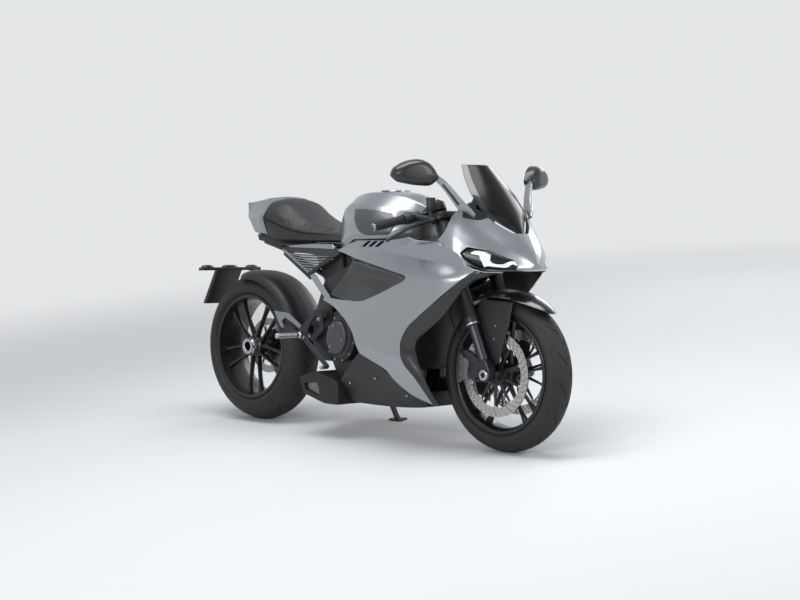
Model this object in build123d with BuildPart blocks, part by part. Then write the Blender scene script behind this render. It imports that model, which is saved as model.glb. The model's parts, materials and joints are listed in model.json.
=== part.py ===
from build123d import *
import os
from math import asin, atan2, cos, degrees, hypot, radians, sin

os.makedirs("parts", exist_ok=True)

# Sport motorcycle, millimetres. It is drawn upright: +X ahead, +Y to the rider's left, +Z up,
# with the ground point under the rear axle at the origin. At the end it leans on its side stand.

# ---- driving dimensions: chassis ----
wheelbase = 1449.0
rake = 24.0
fork_offset = 32.0
lean = 8.0
pivot_x = 545.0                   # swingarm pivot
pivot_z = 405.0
pivot_bolt_r = 11.0

# ---- driving dimensions: wheels ----
front_tyre_r = 300.0
front_tyre_half = 60.0
front_crown_depth = 50.0
front_rim_half = 52.0
rear_tyre_r = 325.0
rear_tyre_half = 95.0
rear_crown_depth = 72.0
rear_rim_half = 83.0
rim_seat_r = 221.0
flange_lip = 8.0                  # the flange stands this far over the bead seat
well_drop = 16.0                  # and the well lies this far under it
rim_flange_r = rim_seat_r + flange_lip
rim_well_r = rim_seat_r - well_drop
rim_wall = 6.0
flange_wall = 5.5
front_hub_r = 38.0
axle_r = 14.0
axle_bore_r = 11.0
spindle_r = 30.0
spindle_bore_r = 20.5
hub_nut_r = 38.0
spoke_pairs = 5
spoke_width = 15.0
rear_hub_right = 70.0             # the rear hub's outer face, from the centre plane

# ---- driving dimensions: brakes ----
front_disc_r = 162.5
front_disc_inner_r = 127.0
front_disc_y = 66.0
disc_wall = 5.0
pad_gap = 2.0
caliper_r_out = 186.0
caliper_r_in = 116.0
caliper_half_width = 25.0
front_caliper_turn = 156.0
front_caliper_span = 38.0
rear_disc_r = 122.0
rear_disc_inner_r = 90.0
rear_disc_y = 30.0

front_fender_y = 78.0

# ---- driving dimensions: fork ----
leg_y = 107.0
outer_tube_r = 27.0
inner_tube_r = 21.5
outer_tube_low = 200.0            # distances up the leg from the axle
outer_tube_top = 712.0
inner_tube_low = 42.0
tube_overlap = 45.0
low_clamp_at = 436.0
low_clamp_wall = 38.0
top_clamp_at = 632.0
top_clamp_wall = 28.0
bar_clamp_at = 670.0
bar_clamp_wall = 32.0
stem_r = 25.6
head_bore_r = 26.0
head_tube_r = 38.0
bearing_gap = 2.0
bar_r = 11.0
grip_r = 17.0

# ---- driving dimensions: body panels ----
panel_wall = 5.0
nose_wall = 4.0
tank_floor = 790.0
seat_floor = 787.0
seam_gap = 0.6                    # shut line between two panels
fit_gap = 0.3                     # between curved faces that seat in each other
running_gap = 5.0                 # between pieces that move past each other

# ---- driving dimensions: engine and drive ----
case_half = 135.0
plate_in = 112.0
plate_out = 136.0
chain_y = 150.0
chain_half = 8.5
chain_half_height = 7.5
sprocket_half = 3.5
rear_pitch_r = 96.0
front_pitch_r = 38.2
front_sprocket_x = 640.0
front_sprocket_z = 400.0
arm_in = 104.0
arm_out = 140.0
carrier_r = 72.0
bracket_in = 165.0
bracket_wall = 8.0
peg_length = 135.0
peg_r = 11.5

cos_rake = cos(radians(rake))
sin_rake = sin(radians(rake))


def fore(x):
    """Stretch a body table's x, drawn at a 1449 mm wheelbase, ahead of the swingarm pivot."""
    if x <= pivot_x:
        return x
    return x + (wheelbase - 1449.0) * (x - pivot_x) / (1449.0 - pivot_x)


def head_x(z):
    """x of the steering axis at a height."""
    rise = z - front_tyre_r + fork_offset * sin_rake
    return wheelbase - fork_offset * cos_rake - rise * sin_rake / cos_rake


def leg_plane(y, along=0.0):
    """Plane across the fork leg at side offset y; its own x is ahead, square to the leg."""
    origin = (wheelbase - along * sin_rake, y, front_tyre_r + along * cos_rake)
    return Plane(origin=origin, x_dir=(cos_rake, 0, sin_rake), z_dir=(-sin_rake, 0, cos_rake))


def head_plane(along=0.0):
    """Plane across the steering axis, at a distance along it."""
    origin = (
        wheelbase - fork_offset * cos_rake - along * sin_rake,
        0,
        front_tyre_r - fork_offset * sin_rake + along * cos_rake,
    )
    return Plane(origin=origin, x_dir=(cos_rake, 0, sin_rake), z_dir=(-sin_rake, 0, cos_rake))


def side_plane(y):
    """Plane of the side view at side offset y, drawn in (x, z) and facing the rider's left."""
    return Plane(origin=(0, y, 0), x_dir=(1, 0, 0), z_dir=(0, -1, 0))


def mirrored_ring(half):
    """Close a half-section (y, z), which runs from the lower centre to the upper centre."""
    return half + [(-y, z) for y, z in reversed(half) if y > 0]


def full_form(stations):
    """Ruled loft through stations along x: (x, half-section)."""
    with BuildPart() as form:
        for x, half in stations:
            with BuildSketch(Plane.YZ.offset(fore(x))):
                with BuildLine():
                    Polyline(*mirrored_ring(half), close=True)
                make_face()
        loft(ruled=True)
    return form.part


def grown(stations, by):
    """The same stations with each half-section moved out (or in) by an even wall."""
    out = []
    for x, half in stations:
        low, high = half[0][1], half[-1][1]
        middle = (low + high) / 2
        depth = (high - low) / 2
        width = max(y for y, z in half)
        moved = [
            (y * (width + by) / width, middle + (z - middle) * (depth + by) / depth)
            for y, z in half
        ]
        out.append((x, moved))
    return out


def side_skin(stations, wall):
    """Right-hand sheet: stations of (x, [(z, y), ...]) from top to bottom, y outward."""
    with BuildPart() as skin:
        for x, edge in stations:
            outer = [(-y, z) for z, y in edge]
            inner = [(-(y - wall), z) for z, y in reversed(edge)]
            with BuildSketch(Plane.YZ.offset(fore(x))):
                with BuildLine():
                    Polyline(*(outer + inner), close=True)
                make_face()
        loft(ruled=True)
    return skin.part


def prism(outline, y_from, y_to, gap=0.0, place=fore):
    """Side-view outline (x, z), grown by a gap, pushed out between two side offsets."""
    with BuildPart() as solid:
        with BuildSketch(side_plane(y_to)):
            with BuildLine():
                Polyline(*[(place(x), z) for x, z in outline], close=True)
            make_face()
            if gap:
                offset(amount=gap, kind=Kind.INTERSECTION)
        extrude(amount=y_to - y_from)
    return solid.part


def finish(piece, label):
    """Name a finished piece, lean it on the stand and keep it for writing."""
    piece.label = label
    pieces[label] = piece


def pair(piece, label):
    """Keep a right-hand piece and its mirror image as two nodes."""
    finish(piece, label + "_right")
    finish(mirror(piece, about=Plane.XZ), label + "_left")


def twins(piece, label):
    """Keep a right-hand piece and its mirror image as two solids of one node."""
    both = Part() + [piece, mirror(piece, about=Plane.XZ)]
    finish(both, label)


pieces = {}

# =========================== wheels ===========================


def tyre(axle_x, radius, half, crown_depth, rim_half):
    """Tyre ring: round crown, sidewalls and beads that sit between the rim's flanges."""
    bead = rim_half - flange_wall - fit_gap
    base = rim_seat_r + fit_gap
    clear = rim_flange_r + fit_gap
    shoulder = radius - crown_depth
    with BuildPart() as ring:
        with BuildSketch(Plane(origin=(axle_x, 0, radius), x_dir=(0, 1, 0), z_dir=(1, 0, 0))):
            with BuildLine():
                Polyline((-half, shoulder), (-bead, clear + 1), (-bead, base), (bead, base))
                Polyline((bead, base), (bead, clear + 1), (half, shoulder))
                ThreePointArc((half, shoulder), (0, radius), (-half, shoulder))
            make_face()
        revolve(axis=Axis((axle_x, 0, radius), (0, 1, 0)))
    return ring.part


def turned(corners, turn):
    """Points turned about the centre by an angle in degrees."""
    c, s = cos(radians(turn)), sin(radians(turn))
    return [(x * c - z * s, x * s + z * c) for x, z in corners]


def spoked_rim(axle_x, radius, rim_half, hub, spoke_y, spoke_half, spread, lead):
    """Cast rim: barrel with flanges, hub with a bore, and pairs of spokes."""
    hub_r, hub_from, hub_to, bore_r = hub
    flange_in = rim_half - flange_wall
    well_half = rim_half * 0.45
    centre = (axle_x, 0, radius)
    with BuildPart() as rim:
        with BuildSketch(Plane(origin=centre, x_dir=(0, 1, 0), z_dir=(1, 0, 0))):
            with BuildLine():
                Polyline(
                    (-rim_half, rim_flange_r), (-flange_in, rim_flange_r), (-flange_in, rim_seat_r),
                    (flange_in, rim_seat_r), (flange_in, rim_flange_r), (rim_half, rim_flange_r),
                    (rim_half, rim_seat_r - rim_wall), (well_half, rim_well_r),
                    (-well_half, rim_well_r), (-rim_half, rim_seat_r - rim_wall), close=True,
                )
            make_face()
        revolve(axis=Axis(centre, (0, 1, 0)))
        with BuildSketch(Plane(origin=(axle_x, hub_to, radius), x_dir=(1, 0, 0), z_dir=(0, -1, 0))):
            Circle(hub_r)
        extrude(amount=hub_to - hub_from)
        spoke_plane = Plane(
            origin=(axle_x, spoke_y + spoke_half, radius), x_dir=(1, 0, 0), z_dir=(0, -1, 0)
        )
        with BuildSketch(spoke_plane):
            for number in range(spoke_pairs):
                turn = lead + number * 360 / spoke_pairs
                for side in (-1, 1):
                    root = side * hub_r * 0.35
                    tip = side * spread
                    corners = (
                        (hub_r * 0.6, root - spoke_width * 0.7), (rim_well_r + 4, tip - spoke_width / 2),
                        (rim_well_r + 4, tip + spoke_width / 2), (hub_r * 0.6, root + spoke_width * 0.7),
                    )
                    with BuildLine():
                        Polyline(*turned(corners, turn), close=True)
                    make_face()
        extrude(amount=2 * spoke_half)
        with Locations(Plane(origin=(axle_x, 0, radius), x_dir=(1, 0, 0), z_dir=(0, -1, 0))):
            Cylinder(bore_r, 4 * rim_half, mode=Mode.SUBTRACT)
    return rim.part


def brake_disc(axle_x, axle_z, y, outer_r, inner_r, hub_r, bore_r, arms):
    """Rotor ring on its spider of slim arms."""
    with BuildPart() as disc:
        middle = Plane(origin=(axle_x, y + disc_wall / 2, axle_z), x_dir=(1, 0, 0), z_dir=(0, -1, 0))
        with BuildSketch(middle):
            Circle(outer_r)
            Circle(inner_r, mode=Mode.SUBTRACT)
            Circle(hub_r)
            for number in range(arms):
                arm = ((hub_r - 4, -8), (inner_r + 3, -5), (inner_r + 3, 5), (hub_r - 4, 8))
                with BuildLine():
                    Polyline(*turned(arm, 18 + number * 360 / arms), close=True)
                make_face()
            Circle(bore_r, mode=Mode.SUBTRACT)
        extrude(amount=disc_wall)
    return disc.part


front_x = wheelbase
front_z = front_tyre_r
rear_z = rear_tyre_r
finish(tyre(front_x, front_tyre_r, front_tyre_half, front_crown_depth, front_rim_half), "front_tyre")
finish(tyre(0, rear_tyre_r, rear_tyre_half, rear_crown_depth, rear_rim_half), "rear_tyre")
front_hub_half = front_disc_y - disc_wall / 2
front_hub = (front_hub_r, -front_hub_half, front_hub_half, axle_r + 0.5)
finish(spoked_rim(front_x, front_z, front_rim_half, front_hub, 0, 11, 34, 20), "front_rim")

carrier_right = rear_disc_y + disc_wall / 2 + running_gap + 10
rear_hub_left = rear_disc_y - disc_wall / 2
rear_hub = (spindle_r + 16, -rear_hub_right, rear_hub_left, spindle_r + fit_gap)
finish(spoked_rim(0, rear_z, rear_rim_half, rear_hub, -42, 13, 40, 54), "rear_rim")

front_disc = brake_disc(front_x, front_z, -front_disc_y, front_disc_r, front_disc_inner_r, 44, 30, 10)
twins(front_disc, "front_discs")
rear_disc = brake_disc(0, rear_z, rear_disc_y, rear_disc_r, rear_disc_inner_r, 52, spindle_r + fit_gap, 8)
finish(rear_disc, "rear_disc")

# rear spindle: runs in the hub carrier, with the hollow wheel nut on the right
spindle_left = chain_y + 22
with BuildPart() as spindle:
    with BuildSketch(side_plane(spindle_left)):
        with Locations((0, rear_z)):
            Circle(spindle_r)
    extrude(amount=spindle_left + rear_hub_right)
    with BuildSketch(side_plane(-rear_hub_right - fit_gap), side_plane(spindle_left)):
        with Locations((0, rear_z)):
            RegularPolygon(hub_nut_r, 6)
    extrude(amount=17)
    with BuildSketch(side_plane(-rear_hub_right)):
        with Locations((0, rear_z)):
            Circle(spindle_r)
    extrude(amount=24)
    with BuildSketch(side_plane(chain_y + sprocket_half)):
        with Locations((0, rear_z)):
            Circle(rear_pitch_r - 6.0)
            with PolarLocations(60, 6):
                Circle(15, mode=Mode.SUBTRACT)
    extrude(amount=2 * sprocket_half)
    with BuildSketch(side_plane(-10.0)):
        with Locations((0, rear_z)):
            Circle(spindle_bore_r)
    extrude(amount=100, mode=Mode.SUBTRACT)
finish(spindle.part, "rear_spindle")

# =========================== swingarm, chain and rear fittings ===========================
arm_stations = (
    # x, y right, y left, z low, z high
    (pivot_x + 28, -104, 104, 372, 438),
    (pivot_x - 60, -96, 112, 350, 468),
    (pivot_x - 150, 0, 134, 342, 478),
    (rear_tyre_r + 12, arm_in, arm_out, 330, 452),
    (130, arm_in, arm_out, rear_z - 45, rear_z + 60),
)
with BuildPart() as swingarm:
    for x, y_right, y_left, z_low, z_high in arm_stations:
        with BuildSketch(Plane.YZ.offset(x)):
            with BuildLine():
                Polyline((y_right, z_low), (y_left, z_low), (y_left, z_high), (y_right, z_high), close=True)
            make_face()
    loft(ruled=True)
    with BuildSketch(side_plane(arm_out)):
        with BuildLine():
            Polyline(
                (131, rear_z + 60), (0, rear_z + carrier_r - 4),
                (0, rear_z - carrier_r + 4), (131, rear_z - 45), close=True,
            )
        make_face()
    extrude(amount=arm_out - arm_in)
    with BuildSketch(side_plane(arm_out)):
        with Locations((0, rear_z)):
            Circle(carrier_r)
    extrude(amount=arm_out - carrier_right)
    with BuildSketch(side_plane(arm_out)):
        with BuildLine():
            Polyline((60, rear_z - 20), (98, rear_z - 58), (84, rear_z - 100), (46, rear_z - 66), close=True)
        make_face()
    extrude(amount=arm_out - rear_disc_y - 22)
    with BuildSketch(side_plane(arm_out + 1)):
        with Locations((0, rear_z)):
            Circle(spindle_r + 0.4)
    extrude(amount=arm_out + 2 - carrier_right, mode=Mode.SUBTRACT)
    with BuildSketch(side_plane(200)):
        with Locations((pivot_x, pivot_z)):
            Circle(pivot_bolt_r + fit_gap)
    extrude(amount=400, mode=Mode.SUBTRACT)
finish(swingarm.part, "swingarm")


def chain_loop(r_rear, r_front):
    """Draw the tangent loop round the two sprockets in the current side view."""
    dx = front_sprocket_x
    dz = front_sprocket_z - rear_z
    span = hypot(dx, dz)
    tilt = degrees(asin(dz / span))
    dip = degrees(asin((r_rear - r_front) / span))
    up = radians(90 + tilt - dip)
    down = radians(-90 + tilt + dip)
    rear_up = (r_rear * cos(up), rear_z + r_rear * sin(up))
    rear_down = (r_rear * cos(down), rear_z + r_rear * sin(down))
    nose_up = (front_sprocket_x + r_front * cos(up), front_sprocket_z + r_front * sin(up))
    nose_down = (front_sprocket_x + r_front * cos(down), front_sprocket_z + r_front * sin(down))
    back = radians(180 + tilt)
    ahead = radians(tilt)
    Line(rear_up, nose_up)
    ThreePointArc(
        nose_up,
        (front_sprocket_x + r_front * cos(ahead), front_sprocket_z + r_front * sin(ahead)),
        nose_down,
    )
    Line(nose_down, rear_down)
    ThreePointArc(rear_down, (r_rear * cos(back), rear_z + r_rear * sin(back)), rear_up)


with BuildPart() as chain:
    with BuildSketch(side_plane(chain_y + chain_half)):
        with BuildLine():
            chain_loop(rear_pitch_r + chain_half_height, front_pitch_r + chain_half_height)
        make_face()
        with BuildLine():
            chain_loop(rear_pitch_r - chain_half_height, front_pitch_r - chain_half_height)
        make_face(mode=Mode.SUBTRACT)
    extrude(amount=2 * chain_half)
    with BuildSketch(side_plane(chain_y + 4.5)):
        with Locations((0, rear_z)):
            Circle(rear_pitch_r - 4.5)
    extrude(amount=9, mode=Mode.SUBTRACT)
finish(chain.part, "drive_chain")

with BuildPart() as front_sprocket:
    with BuildSketch(side_plane(chain_y + sprocket_half)):
        with Locations((front_sprocket_x, front_sprocket_z)):
            Circle(front_pitch_r - chain_half_height - fit_gap)
    extrude(amount=2 * sprocket_half)
    with BuildSketch(side_plane(chain_y + 12)):
        with Locations((front_sprocket_x, front_sprocket_z)):
            Circle(13)
    extrude(amount=chain_y + 12 - case_half)
finish(front_sprocket.part, "front_sprocket")

# rear caliper straddles the disc low and ahead of the axle, on an arm from the carrier


def caliper(centre_x, centre_z, y, r_in, r_out, half, start, sweep, slot_r):
    """Caliper body: a ring segment with a slot for the disc."""
    points = []
    for r, turn in ((r_in, start), (r_out, start + 3), (r_out, start + sweep - 3), (r_in, start + sweep)):
        points.append((centre_x + r * cos(radians(turn)), centre_z + r * sin(radians(turn))))
    with BuildPart() as body:
        with BuildSketch(side_plane(y + half)):
            with BuildLine():
                Polyline(*points, close=True)
            make_face()
        extrude(amount=2 * half)
        with BuildSketch(side_plane(y + disc_wall / 2 + pad_gap)):
            with Locations((centre_x, centre_z)):
                Circle(slot_r)
        extrude(amount=disc_wall + 2 * pad_gap, mode=Mode.SUBTRACT)
    return body.part


rear_caliper = caliper(0, rear_z, rear_disc_y, 82, 142, 22, -62, 44, rear_disc_r + 4)
finish(rear_caliper, "rear_caliper")

# =========================== engine ===========================
with BuildPart() as engine:
    with BuildSketch(side_plane(case_half)):
        with BuildLine():
            Polyline(
                (605, 300), (640, 236), (960, 236), (1000, 300),
                (1000, 470), (905, 530), (700, 540), (605, 500), close=True,
            )
        make_face()
    extrude(amount=2 * case_half)
    with BuildSketch(side_plane(88)):
        with BuildLine():
            Polyline((690, 530), (830, 525), (812, 668), (672, 660), close=True)
            # rear cylinder and head
        make_face()
    extrude(amount=176)
    with BuildSketch(side_plane(105)):
        with BuildLine():
            Polyline((905, 500), (985, 420), (1072, 506), (996, 604), close=True)
        make_face()
    extrude(amount=210)
finish(engine.part, "engine_block")

cover_x = 700.0
cover_z = 402.0
with BuildPart() as clutch_cover:
    for r_long, r_short, y_from, depth in (
        (98, 82, case_half, 40), (86, 70, case_half + 40, 14), (60, 50, case_half + 54, 9),
    ):
        with BuildSketch(side_plane(-y_from)):
            with Locations((cover_x, cover_z)):
                Ellipse(r_short, r_long, rotation=-12)
        extrude(amount=depth)
finish(clutch_cover.part, "clutch_cover")

with BuildPart() as alternator_cover:
    for radius, y_from, depth in ((92, case_half, 34), (76, case_half + 34, 14)):
        with BuildSketch(side_plane(y_from + depth)):
            with Locations((842, 392)):
                Circle(radius)
        extrude(amount=depth)
finish(alternator_cover.part, "alternator_cover")

# radiator: leans with the fork, with end tanks and hoses' stubs
with BuildPart() as radiator:
    with BuildSketch(side_plane(150)):
        with BuildLine():
            Polyline((1072, 300), (1106, 296), (1134, 590), (1100, 594), close=True)
        make_face()
    extrude(amount=300)
    for y_side in (150, -174):
        with BuildSketch(side_plane(y_side + 24)):
            with BuildLine():
                Polyline((1066, 312), (1108, 308), (1134, 574), (1092, 578), close=True)
            make_face()
        extrude(amount=24)
    for y_side in (94, -70):
        with BuildSketch(side_plane(y_side)):
            with BuildLine():
                Polyline((1096, 584), (1122, 584), (1104, 708), (1080, 708), close=True)
            make_face()
        extrude(amount=24)

# exhaust: two header pipes down the front of the engine to the silencer under it
header_r = 22.0
with BuildPart() as headers:
    for y in (-58, 58):
        with BuildLine() as route:
            FilletPolyline(
                (1028.8, y, 462.6), (1050, y, 441), (1046, y, 260), (1000, y, 190), (656, y, 190), radius=34
            )
        with BuildSketch(Plane(origin=route.line @ 0, z_dir=route.line % 0)):
            Circle(header_r)
        sweep(path=route.line)
finish(headers.part, "exhaust_headers")

silencer_outline = [(440, 224), (474, 158), (600, 126), (684, 126), (684, 214), (640, 236), (535, 256)]
with BuildPart() as silencer:
    with BuildSketch(side_plane(96)):
        with BuildLine():
            Polyline(*silencer_outline, close=True)
        make_face()
    extrude(amount=96 + 176)
    for y in (-58, 58):
        with Locations(Location((670, y, 190), (0, 90, 0))):
            Cylinder(header_r + fit_gap, 40, mode=Mode.SUBTRACT)
    # outlet in the lower rear corner of the right side
    with BuildSketch(side_plane(-170)):
        with BuildLine():
            Polyline((478, 205), (486, 176), (584, 150), (556, 214), close=True)
        make_face()
    extrude(amount=20, mode=Mode.SUBTRACT)
finish(silencer.part, "silencer")

# =========================== side stand's hinge ===========================
rear_crown_r = (rear_tyre_half**2 + rear_crown_depth**2) / (2 * rear_crown_depth)
lift = rear_crown_r * (1 - cos(radians(lean)))
stand_half = 8.0
stand_pivot = Vector(585, 154, 235)
foot_x = 632.0
foot_y = 225.0
foot_point = Vector(foot_x, foot_y, (foot_y * sin(radians(lean)) - lift) / cos(radians(lean)))
stand_down = (foot_point - stand_pivot).normalized()
stand_up = Vector(-0.985, 0.12, 0.12).normalized()
stand_axis = stand_down.cross(stand_up).normalized()
stand_swing = stand_down.get_angle(stand_up)

# =========================== frame ===========================
spar_stations = (
    # x, y in, y out, z low, z high
    (head_x(783) - 13, 4, 34, 738, 828),
    (fore(1080), 66, 98, 690, 800),
    (fore(960), plate_in - 6, plate_out, 640, tank_floor - 4),
    (fore(760), plate_in - 6, plate_out, 575, 720),
    (fore(590), plate_in, plate_out, 548, 650),
)
head_low = low_clamp_at + low_clamp_wall + bearing_gap
head_high = top_clamp_at - bearing_gap
standoffs = ((505, 400), (562, 472))
plate_outline = [(604, 650), (560, 640), (490, 470), (488, 350), (556, 300), (604, 300)]
ear_outline = [(618, 640), (668, 656), (656, 752), (628, 752)]
ear_out = 130.0
rail_lugs = ((640, 738), (566, 632))
lug_r = 13.0
rail_seat = 86.0                  # the lugs reach in to the subframe's rails
with BuildPart() as spar:
    for x, y_in, y_out, z_low, z_high in spar_stations:
        with BuildSketch(Plane.YZ.offset(x)):
            with BuildLine():
                Polyline((-y_in, z_low), (-y_out, z_low), (-y_out, z_high), (-y_in, z_high), close=True)
            make_face()
    loft(ruled=True)
    with BuildSketch(side_plane(-plate_in)):
        with BuildLine():
            Polyline(*plate_outline, close=True)
        make_face()
    extrude(amount=plate_out - plate_in)
    with BuildSketch(side_plane(-plate_in)):
        with BuildLine():
            Polyline(*ear_outline, close=True)
        make_face()
    extrude(amount=ear_out - plate_in)
    with BuildSketch(side_plane(-plate_in)):
        with Locations(*standoffs):
            Circle(9)
    extrude(amount=bracket_in - plate_in)
left_spar = mirror(spar.part, about=Plane.XZ)
with BuildPart() as frame:
    with BuildSketch(head_plane(head_low)):
        Circle(head_tube_r)
    extrude(amount=head_high - head_low)
    add(spar.part)
    add(left_spar)
    for x, z, tube_r in ((598, 628, 16), (530, 322, 12), (pivot_x, pivot_z, pivot_bolt_r)):
        with Locations(Location((x, 0, z), (90, 0, 0))):
            Cylinder(tube_r, 2 * plate_out)
    # stand's tab and boss
    with BuildSketch(side_plane(plate_out)):
        with BuildLine():
            Polyline((562, 310), (566, 208), (604, 208), (604, 310), close=True)
        make_face()
    extrude(amount=plate_out - plate_in)
    with BuildSketch(Plane(origin=stand_pivot - stand_axis * 44, z_dir=stand_axis)):
        Circle(17)
    extrude(amount=44 - stand_half - 0.5)
    with BuildSketch(head_plane(head_low)):
        Circle(head_bore_r)
    extrude(amount=head_high - head_low, mode=Mode.SUBTRACT)
finish(frame.part, "main_frame")
finish(radiator.part - frame.part, "radiator")

with BuildPart() as shock:
    bottom = Vector(436, 0, 470)
    top = Vector(598, 0, 628)
    along = Plane(origin=bottom, x_dir=(0, 1, 0), z_dir=(top - bottom))
    length = (top - bottom).length
    with BuildSketch(along):
        Circle(17)
    extrude(amount=length)
    for number in range(6):
        with BuildSketch(along.offset(26 + number * (length - 62) / 5)):
            Circle(32)
        extrude(amount=9)
shock_tube = Location((598, 0, 628), (90, 0, 0)) * Cylinder(16 + fit_gap, 240)
shock_body = shock.part - shock_tube - swingarm.part
finish(max(shock_body.solids(), key=lambda solid: solid.volume), "rear_shock")

rail_r = 11.0
with BuildPart() as subframe:
    for side in (-1, 1):
        for points in (
            ((640, side * 98, 738), (230, side * 84, 762), (84, side * 56, 790)),
            ((566, side * 98, 632), (250, side * 82, 748)),
        ):
            for start, end in zip(points, points[1:]):
                run = Vector(*end) - Vector(*start)
                with BuildSketch(Plane(origin=start, z_dir=run)):
                    Circle(rail_r)
                extrude(amount=run.length)
                with Locations(Location(end)):
                    Sphere(rail_r)
    for x, z in ((230, 762), (420, 751)):
        with Locations(Location((x, 0, z), (90, 0, 0))):
            Cylinder(9, 170)
    for y_out in (-rail_seat, plate_in):
        with BuildSketch(side_plane(y_out)):
            with Locations(*rail_lugs):
                Circle(lug_r)
        extrude(amount=plate_in - rail_seat)

tray_outline = [
    (62, 820.9), (176, 811.4), (177, 805.4), (250, seat_floor - seam_gap), (622, seat_floor - seam_gap),
    (625, tank_floor), (664, tank_floor), (664, 772), (208, 772), (70, 796),
]
tray = prism(tray_outline, -88, 88)
finish(subframe.part + tray, "subframe")

# =========================== tank, seat and tail ===========================
tank_stations = (
    (628, [(0, tank_floor), (92, tank_floor), (108, 845), (92, 925), (48, 962), (0, 967)]),
    (700, [(0, tank_floor), (136, tank_floor), (152, 850), (124, 940), (64, 984), (0, 990)]),
    (850, [(0, tank_floor), (182, tank_floor + 14), (190, 836), (158, 918), (84, 990), (0, 1001)]),
    (960, [(0, tank_floor), (158, tank_floor + 14), (164, 836), (128, 915), (78, 975), (0, 988)]),
    (1050, [(0, tank_floor), (70, tank_floor + 14), (74, 836), (66, 900), (48, 938), (0, 950)]),
)
cap_x = 836.0
cap_top = 1004.0
cap_r = 46.0
cap_ring_r = 60.0
cap_wall = 9.0
hinge_x = cap_x + cap_r + 6
tank_form = full_form(tank_stations)
with BuildPart() as tank:
    add(tank_form)
    with BuildSketch(Plane.XY.offset(cap_top - 30)):
        with Locations((cap_x, 0)):
            Circle(cap_ring_r)
    extrude(amount=30)
    with BuildSketch(Plane.XY.offset(cap_top)):
        with Locations((cap_x, 0)):
            Circle(cap_r + 1)
        with Locations((hinge_x - 4, 0)):
            Rectangle(28, 36)
    extrude(amount=-cap_wall - 1, mode=Mode.SUBTRACT)
finish(tank.part, "fuel_tank")

with BuildPart() as cap:
    with BuildSketch(Plane.XY.offset(cap_top - cap_wall)):
        with Locations((cap_x, 0)):
            Circle(cap_r)
        with Locations((hinge_x - 8, 0)):
            Rectangle(16, 20)
    extrude(amount=cap_wall)
    with Locations(Location((hinge_x, 0, cap_top - cap_wall / 2), (90, 0, 0))):
        Cylinder(cap_wall / 2, 20)
finish(cap.part, "filler_cap")

pad_outline = [(786, 930), (852, 832), (952, 842), (958, 900), (930, 912)]
pad_band = full_form(grown(tank_stations, 3.0)) - full_form(grown(tank_stations, fit_gap))
pad = pad_band & prism(pad_outline, -220, -60)
twins(pad, "knee_pads")

seat_stations = (
    (178, [(0, 806), (108, 806), (132, 822), (158, 892), (92, 976), (0, 982)]),
    (250, [(0, seat_floor), (112, seat_floor), (140, 800), (158, 880), (96, 960), (0, 969)]),
    (330, [(0, seat_floor), (116, seat_floor), (146, 800), (156, 850), (92, 915), (0, 926)]),
    (430, [(0, seat_floor), (116, seat_floor), (142, 800), (146, 838), (88, 866), (0, 874)]),
    (520, [(0, seat_floor), (108, seat_floor), (124, 800), (126, 834), (80, 850), (0, 854)]),
    (622, [(0, seat_floor), (84, seat_floor), (92, 800), (90, 832), (58, 846), (0, 850)]),
)
seat = full_form(seat_stations)
finish(seat, "seat")

tail_front = [(0, 812), (96, 812), (130, 824), (160, 894), (94, 980), (0, 986)]
tail_rear = [(0, 826), (70, 826), (88, 836), (118, 900), (82, 962), (0, 968)]
tail_end = 177 - seam_gap
tail_form = full_form(((-60, tail_rear), (8, tail_rear), (tail_end, tail_front), (205, tail_front)))
tail_outline = [(-19, 972), (34, 904), (56, 808), (tail_end, 800), (tail_end, 1000), (-10, 1000)]
finish(tail_form & prism(tail_outline, -200, 200), "tail_cowl")

# tail lamp: a slim bar on the cowl's sloping end
lamp_wall = 5.6
tail_top = Vector(*tail_outline[0])
slope = (Vector(*tail_outline[1]) - tail_top).normalized()
outward = Vector(slope.Y, -slope.X)
lamp_corners = [
    tail_top + slope * down + outward * out
    for down, out in ((40, fit_gap), (76, fit_gap), (76, fit_gap + lamp_wall), (40, fit_gap + lamp_wall))
]
finish(prism([(corner.X, corner.Y) for corner in lamp_corners], -66, 66), "tail_lamp")

# louvred side panels under the seat, with their silver rear edge and lower bracket
louvre_y = 137.0
louvre_wall = 6.0
fin_count = 6
fin_top = 737.0
fin_pitch = 8.6
fin_wall = 3.0
fin_in = -louvre_y + 4
fin_out = -louvre_y - 5
with BuildPart() as louvre:
    with BuildSketch(side_plane(-louvre_y)):
        with BuildLine():
            Polyline((214, 776), (610, 776), (640, 744), (590, 566), (566, 566), (470, 668), close=True)
        make_face()
        with BuildLine():
            Polyline((318, 744), (596, 744), (622, 730), (476, 680), (440, 690), close=True)
        make_face(mode=Mode.SUBTRACT)
    extrude(amount=louvre_wall)
    for number in range(fin_count):
        z = fin_top - number * fin_pitch
        with BuildSketch(Plane.YZ.offset(300 + number * 22)):
            with BuildLine():
                Polyline(
                    (fin_in, z - fin_wall), (fin_in, z),
                    (fin_out, z - fin_wall), (fin_out, z - 2 * fin_wall), close=True,
                )
            make_face()
        extrude(amount=330 - number * 38)
twins(louvre.part, "louvre_panels")

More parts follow.
